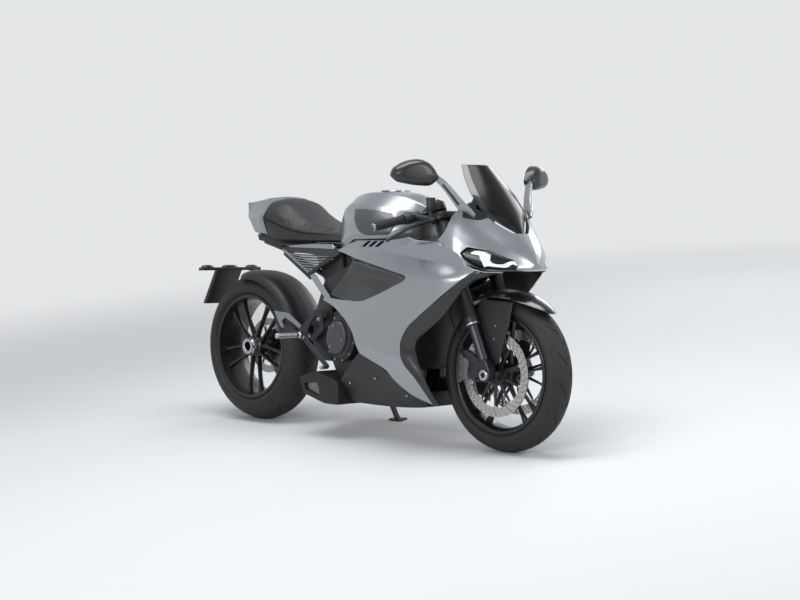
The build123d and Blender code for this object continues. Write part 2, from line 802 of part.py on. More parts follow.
# =========================== fairing ===========================
# silver front edge and dark trim edge, by height: z, x silver, y silver, x trim, y trim
front_edges = (
    (165, 1212, 168, 1229, 143),
    (250, 1174, 202, 1204, 182),
    (350, 1112, 232, 1163, 200),
    (400, 1110, 240, 1153, 202),
    (480, 1168, 249, 1262, 202),
    (580, 1308, 250, 1362, 196),
    (645, 1390, 238, 1432, 176),
    (688, 1436, 212, 1500, 126),
)
skin_stations = (
    # x, (z, y) from the tank seam down to the lower edge
    (560, [(800, 112), (768, 140), (650, 160), (560, 164), (500, 170), (100, 150)]),
    (700, [(806, 156), (760, 172), (680, 180), (560, 188), (470, 196), (100, 150)]),
    (850, [(812, 196), (752, 206), (690, 212), (560, 212), (384, 222), (100, 150)]),
    (1000, [(812, 206), (760, 230), (690, 240), (560, 240), (368, 236), (100, 160)]),
    (1150, [(812, 200), (775, 238), (680, 250), (560, 252), (352, 238), (100, 150)]),
    (1300, [(812, 222), (785, 240), (690, 248), (570, 250), (330, 215), (100, 120)]),
    (1450, [(800, 180), (770, 205), (690, 206), (570, 190), (330, 150), (100, 100)]),
)
skin = side_skin(skin_stations, panel_wall)
upper_edge = [(628, 786), (740, 789), (979, 789), (1090, 806), (1306, 804), (1399, 752)]
front_line = [(x, z) for z, x, y, xt, yt in reversed(front_edges)]
lower_edge = [
    (1111, 198), (1035, 250), (1000, 296), (937, 321), (850, 350),
    (829, 415), (773, 470), (678, 525), (585, 552),
]
opening = [(600, 566), (851, 558), (1148, 658), (790, 733), (650, 742)]
side_outline = upper_edge + front_line + lower_edge + opening
side_panel = skin & prism(side_outline, -300, -40)
boss_r = 9.0
for x, z, y_from, y_to in ((945, 745, plate_out, 220.5), (960, 440, case_half, 230)):
    boss_at = Location((fore(x), -(y_from + y_to) / 2, z), (90, 0, 0))
    side_panel = side_panel + boss_at * Cylinder(boss_r, y_to - y_from)
pair(side_panel, "side_fairing")

with BuildPart() as trim:
    for z, x_a, y_a, x_b, y_b in front_edges:
        with BuildSketch(Plane.XY.offset(z)):
            with BuildLine():
                Polyline(
                    (fore(x_a) + seam_gap, -(y_a - 1)), (fore(x_b), -y_b),
                    (fore(x_b) - 4, -(y_b - 4)), (fore(x_a) + seam_gap, -(y_a - 6)), close=True,
                )
            make_face()
    loft(ruled=True)
twins(trim.part, "front_trims")

duct_stations = (
    (560, [(800, 140), (750, 141), (720, 144), (600, 150), (500, 146)]),
    (800, [(800, 188), (736, 194), (712, 168), (600, 176), (500, 180)]),
    (1000, [(790, 220), (704, 236), (680, 202), (600, 204), (500, 204)]),
    (1180, [(760, 240), (662, 248), (640, 226), (600, 226), (500, 222)]),
)
duct_outline = [(612, 560), (851, 540), (1170, 656), (1000, 712), (790, 748), (748, 726), (700, 640)]
duct = (side_skin(duct_stations, 4) & prism(duct_outline, -300, -40)) - side_panel
twins(max(duct.solids(), key=lambda solid: solid.volume), "duct_panels")

belly_stations = (
    # x, half width low, half width top, z low, z top
    (692, 95, 168, 128, 232),
    (850, 105, 205, 126, 352),
    (950, 105, 206, 128, 312),
    (1070, 100, 188, 134, 230),
    (1128, 92, 172, 142, 206),
)
belly_wall = 4.0
belly_boss_to = 170.2             # bosses reach from the engine cases to the pan's side
with BuildPart() as belly:
    for x, low_half, top_half, z_low, z_top in belly_stations:
        bend_z = z_low + 10
        outer = [(-top_half, z_top), (-low_half, bend_z), (0, z_low), (low_half, bend_z), (top_half, z_top)]
        inner = [
            (top_half - belly_wall, z_top), (low_half - 2, bend_z + belly_wall), (0, z_low + belly_wall),
            (-(low_half - 2), bend_z + belly_wall), (-(top_half - belly_wall), z_top),
        ]
        with BuildSketch(Plane.YZ.offset(fore(x))):
            with BuildLine():
                Polyline(*(outer + inner), close=True)
            make_face()
    loft(ruled=True)
front_x_end, low_half, top_half, z_low, z_top = belly_stations[-1]
with BuildPart() as belly_nose:
    with BuildSketch(Plane.YZ.offset(fore(front_x_end) - belly_wall)):
        with BuildLine():
            Polyline(
                (-top_half, z_top), (-low_half, z_low + 10), (0, z_low),
                (low_half, z_low + 10), (top_half, z_top), close=True,
            )
        make_face()
    extrude(amount=belly_wall)
belly_pan = belly.part + belly_nose.part
for y_side in (-1, 1):
    boss_at = Location((fore(900), y_side * (case_half + belly_boss_to) / 2, 270), (90, 0, 0))
    belly_pan = belly_pan + boss_at * Cylinder(6, belly_boss_to - case_half)
finish(belly_pan, "belly_pan")

nose_stations = (
    (1306, [(0, 690), (225, 705), (240, 760), (241, 806), (234, 860), (222, 925), (0, 950)]),
    (1370, [(0, 690), (215, 700), (232, 755), (228, 802), (217, 862), (196, 930), (0, 950)]),
    (1415, [(0, 690), (195, 697), (215, 750), (207, 812), (160, 905), (124, 917), (0, 930)]),
    (1455, [(0, 690), (175, 692), (195, 740), (186, 800), (122, 894), (77, 872), (0, 880)]),
    (1514, [(0, 690), (135, 690), (152, 722), (142, 780), (92, 845), (16, 822), (0, 824)]),
    (1560, [(0, 690), (85, 690), (98, 712), (85, 735), (62, 757), (22, 762), (0, 765)]),
    (1588, [(0, 697), (20, 697), (24, 704), (21, 710), (15, 714), (8, 716), (0, 717)]),
)
screen_line = [(1370, 930), (1415, 918), (1455, 871), (1514, 822), (1530, 900), (1500, 990)]
cockpit_line = [(1290, 990), (1290, 805), (1307, 805), (1349, 842)]
nose_seam = [
    (1290, 811), (1307, 804.8), (1401, 753), (1420, 712), (1444, 700), (1482, 690.5),
    (1600, 690.5), (1600, 600), (1290, 600),
]
lamp_outline = [
    (1423, 780), (1401, 757), (1444, 710), (1482, 696), (1574, 697), (1576, 708), (1558, 733), (1488, 766),
]
nose_form = full_form(nose_stations)
nose_void = full_form(grown(nose_stations, -nose_wall))
lamp_void = full_form(grown(nose_stations[:-1], -26))
above = prism(cockpit_line + screen_line, -400, 400)
below = prism(nose_seam, -400, 400)
lamp_window = prism(lamp_outline, -400, -14, seam_gap) + prism(lamp_outline, 14, 400, seam_gap)
nose = nose_form - nose_void - above - below - lamp_window
finish(nose, "nose_fairing")
lamp_shape = prism(lamp_outline, -400, -18)
lamp = (full_form(grown(nose_stations, -1.0)) - lamp_void) & lamp_shape
twins(lamp, "headlamps")

# windscreen: arcs at four heights: z, centre x, side x, half width
screen_rows = (
    (824, 1513, 1508, 14),
    (871, 1486, 1455, 75),
    (918, 1457, 1415, 122),
    (1000, 1398, 1344, 118),
    (1092, 1316, 1272, 78),
)
screen_wall = 3.0
with BuildPart() as screen:
    for z, x_mid, x_side, half in screen_rows:
        with BuildSketch(Plane.XY.offset(z)):
            with BuildLine():
                ThreePointArc((fore(x_side), -half), (fore(x_mid), 0), (fore(x_side), half))
                Line((fore(x_side), half), (fore(x_side) - screen_wall, half - 1))
                ThreePointArc(
                    (fore(x_side) - screen_wall, half - 1), (fore(x_mid) - screen_wall, 0),
                    (fore(x_side) - screen_wall, 1 - half),
                )
                Line((fore(x_side) - screen_wall, 1 - half), (fore(x_side), -half))
            make_face()
    loft(ruled=True)
finish(screen.part - full_form(grown(nose_stations, seam_gap)), "windscreen")

stay_outline = [(1395, 770), (1412, 800), (1345, 840), (1324, 900), (1308, 896), (1320, 832)]
stay_outline = [(fore(x), z) for x, z in stay_outline]
stay_outline += [(head_x(806) + 17, 806), (head_x(776) + 12, 776)]
stay_core = prism(stay_outline, -24, 24, place=float)
stay_bar = prism([(1388, 776), (1406, 776), (1406, 792), (1388, 792)], -300, 300)
stay = stay_core + (stay_bar & full_form(grown(nose_stations, -nose_wall - 0.5)))
with BuildPart() as head_clear:
    with BuildSketch(head_plane(0)):
        Circle(head_tube_r + fit_gap)
    extrude(amount=900)
dash_outline = [(1298, 903), (1330, 890), (1356, 950), (1336, 972)]
dash = prism(dash_outline, -76, 76)
finish((stay - head_clear.part) + dash, "dash_stay")

# mirrors: tapered housing on a flat silver stalk
mirror_at = Vector(fore(1283), -341, 1055)
mirror_out = Vector(-0.381, -0.924, 0)
mirror_back = Vector(-0.924, 0.381, 0)
mirror_outline = [
    (-98, -18), (-72, 30), (-14, 53), (46, 40), (88, 14), (98, -12), (72, -37), (4, -48), (-62, -50),
]
mirror_face = Plane(origin=mirror_at + mirror_back * 8, x_dir=mirror_out, z_dir=mirror_back)
with BuildPart() as mirror_shell:
    with BuildSketch(mirror_face):
        with BuildLine():
            Polyline(*[(u, -w if mirror_face.y_dir.Z < 0 else w) for u, w in mirror_outline], close=True)
        make_face()
    extrude(amount=-16)
    with BuildSketch(mirror_face.offset(-16)):
        with BuildLine():
            Polyline(*[(u, -w if mirror_face.y_dir.Z < 0 else w) for u, w in mirror_outline], close=True)
        make_face()
    extrude(amount=-38, taper=36)
stalk_root = Vector(fore(1398), -172, 908)
stalk_tip = Vector(fore(1318), -262, 1034)
stalk_run = stalk_tip - stalk_root
with BuildPart() as stalk:
    for share, long_half, thin_half in ((0.0, 34, 8), (0.5, 19, 6), (1.0, 14, 5)):
        spot = stalk_root + stalk_run * share
        with BuildSketch(Plane(origin=spot, x_dir=(0.85, 0.5, 0), z_dir=stalk_run)):
            Rectangle(2 * long_half, 2 * thin_half)
    loft(ruled=True)
stalk_part = stalk.part - full_form(grown(nose_stations, 0.4)) - mirror_shell.part - screen.part
twins(mirror_shell.part, "mirror_housings")
twins(max(stalk_part.solids(), key=lambda solid: solid.volume), "mirror_stalks")

# footrests: bracket with heel guard, peg and foot lever
bracket_outline = [
    (578, 508), (592, 430), (520, 374), (440, 384), (322, 428),
    (282, 494), (367, 489), (452, 440), (494, 468), (536, 512),
]
bracket_out = bracket_in + bracket_wall
with BuildPart() as footrest:
    with BuildSketch(side_plane(-bracket_in)):
        with BuildLine():
            Polyline(*bracket_outline, close=True)
        make_face()
    extrude(amount=bracket_wall)
    with BuildSketch(side_plane(-bracket_out)):
        with Locations((452, 402)):
            Circle(peg_r)
    extrude(amount=peg_length)
    with BuildSketch(side_plane(-bracket_out)):
        with BuildLine():
            Polyline((476, 404), (492, 388), (632, 280), (618, 270), (474, 378), (462, 392), close=True)
        make_face()
    extrude(amount=9)
    with BuildSketch(side_plane(-bracket_out)):
        with Locations((622, 278)):
            Circle(8)
    extrude(amount=44)
pair(footrest.part, "footrest")

# hugger over the rear tyre, fixed to the swingarm
hugger_gap = 10.0
hugger_wall = 3.0
hugger_r = rear_tyre_r + hugger_gap + hugger_wall
hugger_half = 102.0


def arc_cover(centre_x, centre_z, half_profile, start, sweep):
    """Thin cover revolved about a wheel's axle: half_profile is (y, r) from the edge to the crown."""
    outer = [(-y, r) for y, r in half_profile] + [(y, r) for y, r in reversed(half_profile) if y > 0]
    edge_r = half_profile[0][1]
    narrow = 1 - hugger_wall / hugger_half
    inner = [(y * narrow, r - hugger_wall if r > edge_r else r) for y, r in reversed(outer)]
    facing = (sin(radians(start)), 0, -cos(radians(start)))
    with BuildPart() as cover:
        with BuildSketch(Plane(origin=(centre_x, 0, centre_z), x_dir=(0, 1, 0), z_dir=facing)):
            with BuildLine():
                Polyline(*(outer + inner), close=True)
            make_face()
        revolve(axis=Axis((centre_x, 0, centre_z), (0, 1, 0)), revolution_arc=sweep)
    return cover.part


hugger_profile = [(hugger_half, rear_tyre_r - 28), (94, rear_tyre_r - 2), (56, hugger_r - 4), (0, hugger_r)]
hugger = arc_cover(0, rear_z, hugger_profile, 104, 88)
lug_points = [(306, rear_z + 116), (232, rear_z + 88), (230, rear_z + 176), (262, rear_z + 180)]
lug = prism(lug_points, hugger_half - 2, arm_in - fit_gap)
finish(hugger + lug, "rear_hugger")

holder_z = 668.0
holder_outline = [
    (-258, 656), (-258, holder_z), (-226, holder_z), (-30, 560), (66, 470),
    (110, 386.8), (40, 391.3), (8, 446), (-60, 532), (-222, 652),
]
holder = prism(holder_outline, arm_in + 6, arm_in + 18)
holder += prism([(-262, 655), (-258, holder_z), (-222, holder_z + 2), (-222, 656)], -165, 165)
holder += prism([(-262, 660), (-240, 660), (-328, 502), (-350, 502)], -70, 70)
finish(holder, "plate_holder")

# =========================== steering group ===========================
with BuildPart() as outer_tube:
    for low, high, radius in (
        (outer_tube_low, outer_tube_top, outer_tube_r),
        (outer_tube_low, outer_tube_low + 34, outer_tube_r + 1.7),
        (outer_tube_top, outer_tube_top + 8, outer_tube_r - 6),
    ):
        with BuildSketch(leg_plane(-leg_y, low)):
            Circle(radius)
        extrude(amount=high - low)
    with BuildSketch(leg_plane(-leg_y, outer_tube_low)):
        Circle(inner_tube_r + fit_gap)
    extrude(amount=tube_overlap + 4, mode=Mode.SUBTRACT)
twins(outer_tube.part, "fork_outer_tubes")

foot_in = 86.0
foot_out = 130.0
caliper_face = front_disc_y + caliper_half_width


def from_axle(points):
    """Side-view points given from the front axle."""
    return [(front_x + dx, front_z + dz) for dx, dz in points]


with BuildPart() as slider:
    with BuildSketch(leg_plane(-leg_y, inner_tube_low)):
        Circle(inner_tube_r)
    extrude(amount=outer_tube_low + tube_overlap - inner_tube_low)
    with BuildSketch(side_plane(-foot_in)):
        with Locations((front_x, front_z)):
            Circle(26)
        with BuildLine():
            Polyline(*from_axle([(-25, -4), (-58, 70), (-12, 90), (25, 4)]), close=True)
        make_face()
    extrude(amount=foot_out - foot_in)
    with BuildSketch(side_plane(-caliper_face)):
        with BuildLine():
            Polyline(
                *from_axle([
                    (-10, 26), (-44, 100), (-128, 92), (-158, 70), (-154, 44), (-96, 50),
                    (-78, 0), (-158, -12), (-158, -34), (-40, -26),
                ]),
                close=True,
            )
        make_face()
    extrude(amount=20)
    with BuildSketch(side_plane(-front_fender_y)):
        with Locations(*from_axle([(-20, 74)])):
            Circle(8)
    extrude(amount=foot_in - front_fender_y + 4)
    with Locations(Location((front_x, 0, front_z), (90, 0, 0))):
        Cylinder(axle_r + fit_gap, 400, mode=Mode.SUBTRACT)
twins(slider.part, "fork_sliders")

front_caliper = caliper(
    front_x, front_z, -front_disc_y, caliper_r_in, caliper_r_out, caliper_half_width,
    front_caliper_turn, front_caliper_span, front_disc_r + 4,
)
twins(front_caliper, "front_calipers")

with BuildPart() as clamps:
    for along, wall, leg_ring, stem_ring in (
        (low_clamp_at, low_clamp_wall, 38, 36), (top_clamp_at, top_clamp_wall, 36, 32),
    ):
        with BuildSketch(head_plane(along)):
            with Locations((fork_offset, leg_y), (fork_offset, -leg_y)):
                Circle(leg_ring)
            Circle(stem_ring)
            make_hull()
            with Locations((fork_offset, leg_y), (fork_offset, -leg_y)):
                Circle(outer_tube_r + fit_gap, mode=Mode.SUBTRACT)
        extrude(amount=wall)
    with BuildSketch(head_plane(low_clamp_at)):
        Circle(stem_r)
    extrude(amount=top_clamp_at - low_clamp_at)
finish(clamps.part, "triple_clamp")

bar_plane = leg_plane(-leg_y, bar_clamp_at + bar_clamp_wall / 2)
bar_root = bar_plane.from_local_coords(Vector(-(outer_tube_r + 8 + bar_r), 0, 0))
bar_end = Vector(fore(1058), -332, 852)
bar_run = bar_end - bar_root
bar_way = bar_run.normalized()
grip_length = 122.0
lever_points = (
    Vector(fore(1206), -168, 880),
    Vector(fore(1166), -238, 856),
    Vector(fore(1132), -334, 802),
)
with BuildPart() as clip_on:
    with BuildSketch(leg_plane(-leg_y, bar_clamp_at)):
        Circle(outer_tube_r + 9)
        with Locations((-(outer_tube_r + 8 + bar_r), 0)):
            Rectangle(30, 34)
        Circle(outer_tube_r + fit_gap, mode=Mode.SUBTRACT)
    extrude(amount=bar_clamp_wall)
    with BuildSketch(Plane(origin=bar_root - bar_way * 12, z_dir=bar_way)):
        Circle(bar_r)
    extrude(amount=bar_run.length + 12 + 8)
    # master cylinder, its bracket and the lever
    with BuildSketch(Plane(origin=bar_root + bar_way * 46, z_dir=bar_way)):
        Circle(bar_r + 8)
    extrude(amount=34)
    for start, end, radius in (
        (bar_root + bar_way * 62, lever_points[0], 12),
        (lever_points[0], lever_points[1], 7),
        (lever_points[1], lever_points[2], 6),
    ):
        with BuildSketch(Plane(origin=start, z_dir=end - start)):
            Circle(radius)
        extrude(amount=(end - start).length)
        with Locations(Location(end)):
            Sphere(radius + 1)
    with Locations(Location((fore(1198), -170, 944))):
        Cylinder(17, 44)
    with BuildSketch(Plane.XY.offset(880)):
        with Locations((fore(1198), -170)):
            Circle(7)
    extrude(amount=50)
with BuildPart() as grip:
    with BuildSketch(Plane(origin=bar_end - bar_way * grip_length, z_dir=bar_way)):
        Circle(grip_r)
        Circle(bar_r + fit_gap, mode=Mode.SUBTRACT)
    extrude(amount=grip_length)
pair(clip_on.part, "clip_on")
twins(grip.part, "grips")

# brake hoses: from the caliper's upper end, up behind the leg and into the lower clamp
hose_r = 3.5
hose_y = -81.0
hose_back = -42.0                 # where it enters the clamp, from the leg's axis
end_run = 14.0
ferrule_r = 5.5
ferrule_long = 13.0
port_share = 0.85                 # place of the port across the caliper's end face
hose_bends = ((47.0, 30.0), (-42.0, 60.0))    # degrees and radius
last_bend_r = 60.0


def in_leg(r, turn):
    """Polar place about the front axle as (ahead of the leg's axis, up along the leg)."""
    return (r * cos(radians(turn - rake)), r * sin(radians(turn - rake)))


def run_step(turn, length):
    """Move along a straight run with a heading."""
    return (length * cos(radians(turn)), length * sin(radians(turn)))


def bend_step(turn, by, radius):
    """Move along a tangent bend that starts with a heading."""
    side = radius if by > 0 else -radius
    a, b = radians(turn), radians(turn + by)
    return (side * (sin(b) - sin(a)), side * (cos(a) - cos(b)))


face_in = in_leg(caliper_r_in, front_caliper_turn)
face_out = in_leg(caliper_r_out, front_caliper_turn + 3)
turn_1 = degrees(atan2(face_in[0] - face_out[0], face_out[1] - face_in[1]))
turn_2 = turn_1 + hose_bends[0][0]
turn_3 = turn_2 + hose_bends[1][0]
last_bend = 90 - turn_3
fixed_steps = (
    [a + (b - a) * port_share for a, b in zip(face_in, face_out)],
    run_step(turn_1, fit_gap + end_run), bend_step(turn_1, *hose_bends[0]),
    bend_step(turn_2, *hose_bends[1]), bend_step(turn_3, last_bend, last_bend_r),
    run_step(90, end_run + fit_gap),
)
left_u = hose_back - sum(step[0] for step in fixed_steps)
left_w = low_clamp_at - sum(step[1] for step in fixed_steps)
way_2, way_3 = run_step(turn_2, 1), run_step(turn_3, 1)
cross = way_2[0] * way_3[1] - way_2[1] * way_3[0]
run_2 = (left_u * way_3[1] - left_w * way_3[0]) / cross
run_3 = (way_2[0] * left_w - way_2[1] * left_u) / cross
hose_moves = (
    # heading, straight run, then the bend and its radius
    (turn_1, end_run, *hose_bends[0]),
    (turn_2, run_2, *hose_bends[1]),
    (turn_3, run_3, last_bend, last_bend_r),
    (90.0, end_run, 0.0, 0.0),
)
leg_side = Plane(origin=(front_x, hose_y, front_z), x_dir=(cos_rake, 0, sin_rake), z_dir=(0, -1, 0))
with BuildLine() as hose_line:
    spot = Vector(*fixed_steps[0]) + Vector(*run_step(turn_1, fit_gap))
    for turn, run, by, radius in hose_moves:
        corner = spot + Vector(*run_step(turn, run))
        Line(spot, corner)
        spot = corner + Vector(*bend_step(turn, by, radius))
        if by:
            ThreePointArc(corner, corner + Vector(*bend_step(turn, by / 2, radius)), spot)
path = leg_side * hose_line.wire()
with BuildPart() as hose:
    with BuildSketch(Plane(origin=path @ 0, z_dir=path % 0)):
        Circle(hose_r)
    sweep(path=path)
    for spot, way in ((path @ 0, path % 0), (path @ 1, -(path % 1))):
        with BuildSketch(Plane(origin=spot, z_dir=way)):
            Circle(ferrule_r)
        extrude(amount=ferrule_long)
twins(hose.part, "front_brake_hoses")

# front fender with its fork guards
guard_wall = 4.0
fender_half = front_fender_y
fender_r = front_tyre_r + 22.0
facing = (sin(radians(118)), 0, -cos(radians(118)))
outer_line = [
    (fender_half, fender_r - 36), (fender_half - 4, fender_r - 18), (46, fender_r - 4), (0, fender_r),
]
outer_ring = [(-y, r) for y, r in outer_line] + [(y, r) for y, r in reversed(outer_line) if y > 0]
inner_line = [
    (fender_half - 4, fender_r - 36), (fender_half - 8, fender_r - 20), (44, fender_r - 8), (0, fender_r - 4),
]
inner_ring = [(-y, r) for y, r in inner_line] + [(y, r) for y, r in reversed(inner_line) if y > 0]
with BuildPart() as fender:
    with BuildSketch(Plane(origin=(front_x, 0, front_z), x_dir=(0, 1, 0), z_dir=facing)):
        with BuildLine():
            Polyline(*(outer_ring + inner_ring[::-1]), close=True)
        make_face()
    revolve(axis=Axis((front_x, 0, front_z), (0, 1, 0)), revolution_arc=66)
    with BuildSketch(Plane.XY.offset(400)):
        with BuildLine():
            Polyline(
                (front_x - 200, -120), (front_x + 90, -120), (front_x + 130, -78), (front_x + 182, -20),
                (front_x + 182, 20), (front_x + 130, 78), (front_x + 90, 120), (front_x - 200, 120),
                close=True,
            )
        make_face()
    extrude(amount=400, mode=Mode.INTERSECT)
    for side_y in (-fender_half + guard_wall, fender_half):
        with BuildSketch(side_plane(side_y)):
            with BuildLine():
                Polyline(
                    *from_axle([
                        (-68, 282), (92, 274), (76, 190), (47, 114), (33, 49), (-17, 31), (-102, 201),
                    ]),
                    close=True,
                )
            make_face()
        extrude(amount=guard_wall)
finish(fender.part, "front_fender")

axle_out = foot_out + 10
spacer_long = foot_in - front_hub_half - 2 * fit_gap
head_long = axle_out - foot_out - fit_gap
with BuildPart() as axle:
    with BuildSketch(side_plane(axle_out)):
        with Locations((front_x, front_z)):
            Circle(axle_r)
    extrude(amount=2 * axle_out)
    for y_to, long, radius in (
        (foot_in - fit_gap, spacer_long, axle_r + 5),
        (-front_hub_half - fit_gap, spacer_long, axle_r + 5),
        (axle_out, head_long, axle_r + 6),
        (-foot_out - fit_gap, head_long, axle_r + 6),
    ):
        with BuildSketch(side_plane(y_to)):
            with Locations((front_x, front_z)):
                Circle(radius)
        extrude(amount=long)
    with Locations(Location((front_x, 0, front_z), (90, 0, 0))):
        Cylinder(axle_bore_r, 400, mode=Mode.SUBTRACT)
finish(axle.part, "front_axle")

# =========================== side stand ===========================
stand_length = (foot_point - stand_pivot).length
stand_flat = Plane(origin=stand_pivot - stand_axis * stand_half, x_dir=stand_down, z_dir=stand_axis)
with BuildPart() as stand:
    with BuildSketch(stand_flat):
        Circle(19)
        with BuildLine():
            Polyline((0, -14), (stand_length - 8, -9), (stand_length - 8, 9), (0, 14), close=True)
        make_face()
    extrude(amount=2 * stand_half)
    ground = Plane(origin=foot_point, x_dir=(1, 0, 0), z_dir=(0, -sin(radians(lean)), cos(radians(lean))))
    with BuildSketch(ground):
        Rectangle(66, 46)
    extrude(amount=8)
    with BuildSketch(Plane(origin=stand_pivot + stand_axis * stand_half, z_dir=stand_axis)):
        RegularPolygon(13, 6)
    extrude(amount=8)
finish(stand.part, "side_stand")

# =========================== park it on the stand and write ===========================
upright_to_parked = Location((0, 0, lift)) * Location((0, 0, 0), (-lean, 0, 0))
parked = {name: piece.moved(upright_to_parked) for name, piece in pieces.items()}
boxes = [piece.bounding_box() for piece in parked.values()]
low = [min(getattr(box.min, axis) for box in boxes) for axis in "XYZ"]
high = [max(getattr(box.max, axis) for box in boxes) for axis in "XYZ"]
origin_shift = Vector(-(low[0] + high[0]) / 2, -(low[1] + high[1]) / 2, -low[2])
for name, piece in parked.items():
    placed = piece.moved(Location(origin_shift))
    placed.label = name
    export_step(placed, f"parts/{name}.step")
print(len(parked), "pieces; size", [round(b - a, 1) for a, b in zip(low, high)])
print("shift", origin_shift, "lift", round(lift, 3))
print("stand swing", round(stand_swing, 1))
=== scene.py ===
import json
import math

import bmesh
import bpy
from mathutils import Matrix, Vector
from mathutils.geometry import delaunay_2d_cdt


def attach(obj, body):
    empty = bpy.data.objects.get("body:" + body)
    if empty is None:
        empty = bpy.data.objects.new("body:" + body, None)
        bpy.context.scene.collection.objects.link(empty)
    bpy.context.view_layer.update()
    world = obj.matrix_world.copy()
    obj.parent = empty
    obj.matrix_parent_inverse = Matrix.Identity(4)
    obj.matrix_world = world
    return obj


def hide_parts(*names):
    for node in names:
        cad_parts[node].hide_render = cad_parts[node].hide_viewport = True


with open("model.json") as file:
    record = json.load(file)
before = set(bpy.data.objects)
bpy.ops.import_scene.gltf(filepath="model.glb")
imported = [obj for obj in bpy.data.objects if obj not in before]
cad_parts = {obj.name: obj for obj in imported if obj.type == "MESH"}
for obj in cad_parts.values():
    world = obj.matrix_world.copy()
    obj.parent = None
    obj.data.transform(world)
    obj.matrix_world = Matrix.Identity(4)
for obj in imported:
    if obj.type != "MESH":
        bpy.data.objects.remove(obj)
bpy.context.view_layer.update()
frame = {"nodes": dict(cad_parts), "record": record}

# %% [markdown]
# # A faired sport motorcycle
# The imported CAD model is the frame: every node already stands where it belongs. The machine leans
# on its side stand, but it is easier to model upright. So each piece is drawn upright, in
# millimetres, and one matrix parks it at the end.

LEAN = math.radians(8.0)
FRONT_AXLE = Vector((1.449, 0.0, 0.300))
REAR_AXLE = Vector((0.0, 0.0, 0.325))
axle_now = next(m["pos_m"] for m in frame["record"]["mounts"] if m["name"] == "front_axle_bore")
LEANED = Matrix.Rotation(-LEAN, 4, "X")
PARK = Matrix.Translation(Vector(axle_now) - LEANED @ FRONT_AXLE) @ LEANED
print("parked rear axle", [round(v, 4) for v in PARK @ REAR_AXLE])

# %% [markdown]
# ## Camera
# A long lens, 70 mm, from ahead and to the right at the height of the tank. It is set before any
# piece is made, so that each new piece can be judged in the same view.

# %% Camera
camera_data = bpy.data.cameras.new("camera")
camera_data.sensor_fit = "HORIZONTAL"
camera_data.sensor_width = 36.0
camera_data.lens = 70.26
camera = bpy.data.objects.new("camera", camera_data)
right = Vector((0.70267, 0.71145, 0.00966))
up = Vector((-0.03539, 0.02138, 0.99914))
facing = Matrix((right, up, -Vector((-0.71063, 0.70241, -0.0402)))).transposed().to_4x4()
camera.matrix_world = PARK @ Matrix.Translation((5.3767, -4.4607, 0.8137)) @ facing
bpy.context.scene.collection.objects.link(camera)
bpy.context.scene.camera = camera
print("camera at", [round(v, 3) for v in camera.matrix_world.translation])

# %% [markdown]
# ## Floor and light
# A pale floor, a pale background that only the camera and reflections see, and soft lamps: one
# broad panel overhead, one at each side and a low one ahead. The level is plain, so that a colour
# renders about as it is written.


# %% Helpers for nodes and colours
def linear(code, alpha=1.0):
    """An sRGB hex colour as linear RGBA."""
    parts = [int(code[i:i + 2], 16) / 255 for i in (1, 3, 5)]
    rgb = [c / 12.92 if c <= 0.04045 else ((c + 0.055) / 1.055) ** 2.4 for c in parts]
    return (*rgb, alpha)


def add(tree, kind, links=None, **settings):
    """Add one node: settings are its own fields, links its sockets' values or sources."""
    made = tree.nodes.new(kind)
    for key, value in settings.items():
        setattr(made, key, value)
    for key, value in (links or {}).items():
        if isinstance(value, bpy.types.NodeSocket):
            tree.links.new(value, made.inputs[key])
        else:
            made.inputs[key].default_value = value
    return made


# %% Floor, world and lamps
world = bpy.data.worlds.new("studio")
bpy.context.scene.world = world
world.use_nodes = True
tree = world.node_tree
tree.nodes.clear()


def seen_directly(tree):
    """1 for rays that show the background: from the camera, by reflection or through glass."""
    rays = add(tree, "ShaderNodeLightPath").outputs
    one = add(tree, "ShaderNodeMath", {
        0: rays["Is Camera Ray"], 1: rays["Is Transmission Ray"],
    }, operation="MAXIMUM")
    return add(tree, "ShaderNodeMath", {
        0: one.outputs[0], 1: rays["Is Glossy Ray"],
    }, operation="MAXIMUM").outputs[0]


BACKDROP = linear("#E4E6E8")
way = add(tree, "ShaderNodeTexCoord").outputs["Generated"]
height = add(tree, "ShaderNodeSeparateXYZ", {0: way}).outputs["Z"]
rise = add(tree, "ShaderNodeMapRange", {"Value": height, "From Min": 0.08, "From Max": 0.9})
shade = add(tree, "ShaderNodeMix", {
    "Factor": rise.outputs[0], "A": BACKDROP, "B": linear("#A9AEB5"),
}, data_type="RGBA")
dim = add(tree, "ShaderNodeBackground", {"Color": linear("#DDE0E4"), "Strength": 0.38})
pale = add(tree, "ShaderNodeBackground", {"Color": shade.outputs["Result"], "Strength": 1.0})
both = add(tree, "ShaderNodeMixShader", {0: seen_directly(tree), 1: dim.outputs[0], 2: pale.outputs[0]})
add(tree, "ShaderNodeOutputWorld", {"Surface": both.outputs[0]})

# The floor is pale and matt near the machine and fades into the backdrop further out.
FLOOR_HALF = 60.0
floor_mesh = bpy.data.meshes.new("floor")
corners = [(x * FLOOR_HALF, y * FLOOR_HALF, 0) for x, y in ((-1, -1), (1, -1), (1, 1), (-1, 1))]
floor_mesh.from_pydata(corners, [], [(0, 1, 2, 3)])
floor = bpy.data.objects.new("floor", floor_mesh)
bpy.context.scene.collection.objects.link(floor)
floor_paint = bpy.data.materials.new("studio_floor")
floor_paint.use_nodes = True
tree = floor_paint.node_tree
matt = tree.nodes["Principled BSDF"]
matt.inputs["Base Color"].default_value = linear("#D6D8DA")
matt.inputs["Roughness"].default_value = 0.8
spot = add(tree, "ShaderNodeTexCoord").outputs["Object"]
reach = add(tree, "ShaderNodeVectorMath", {0: spot}, operation="LENGTH").outputs["Value"]
fade = add(tree, "ShaderNodeMapRange", {
    "Value": reach, "From Min": 1.6, "From Max": 6.5,
}, interpolation_type="SMOOTHSTEP")
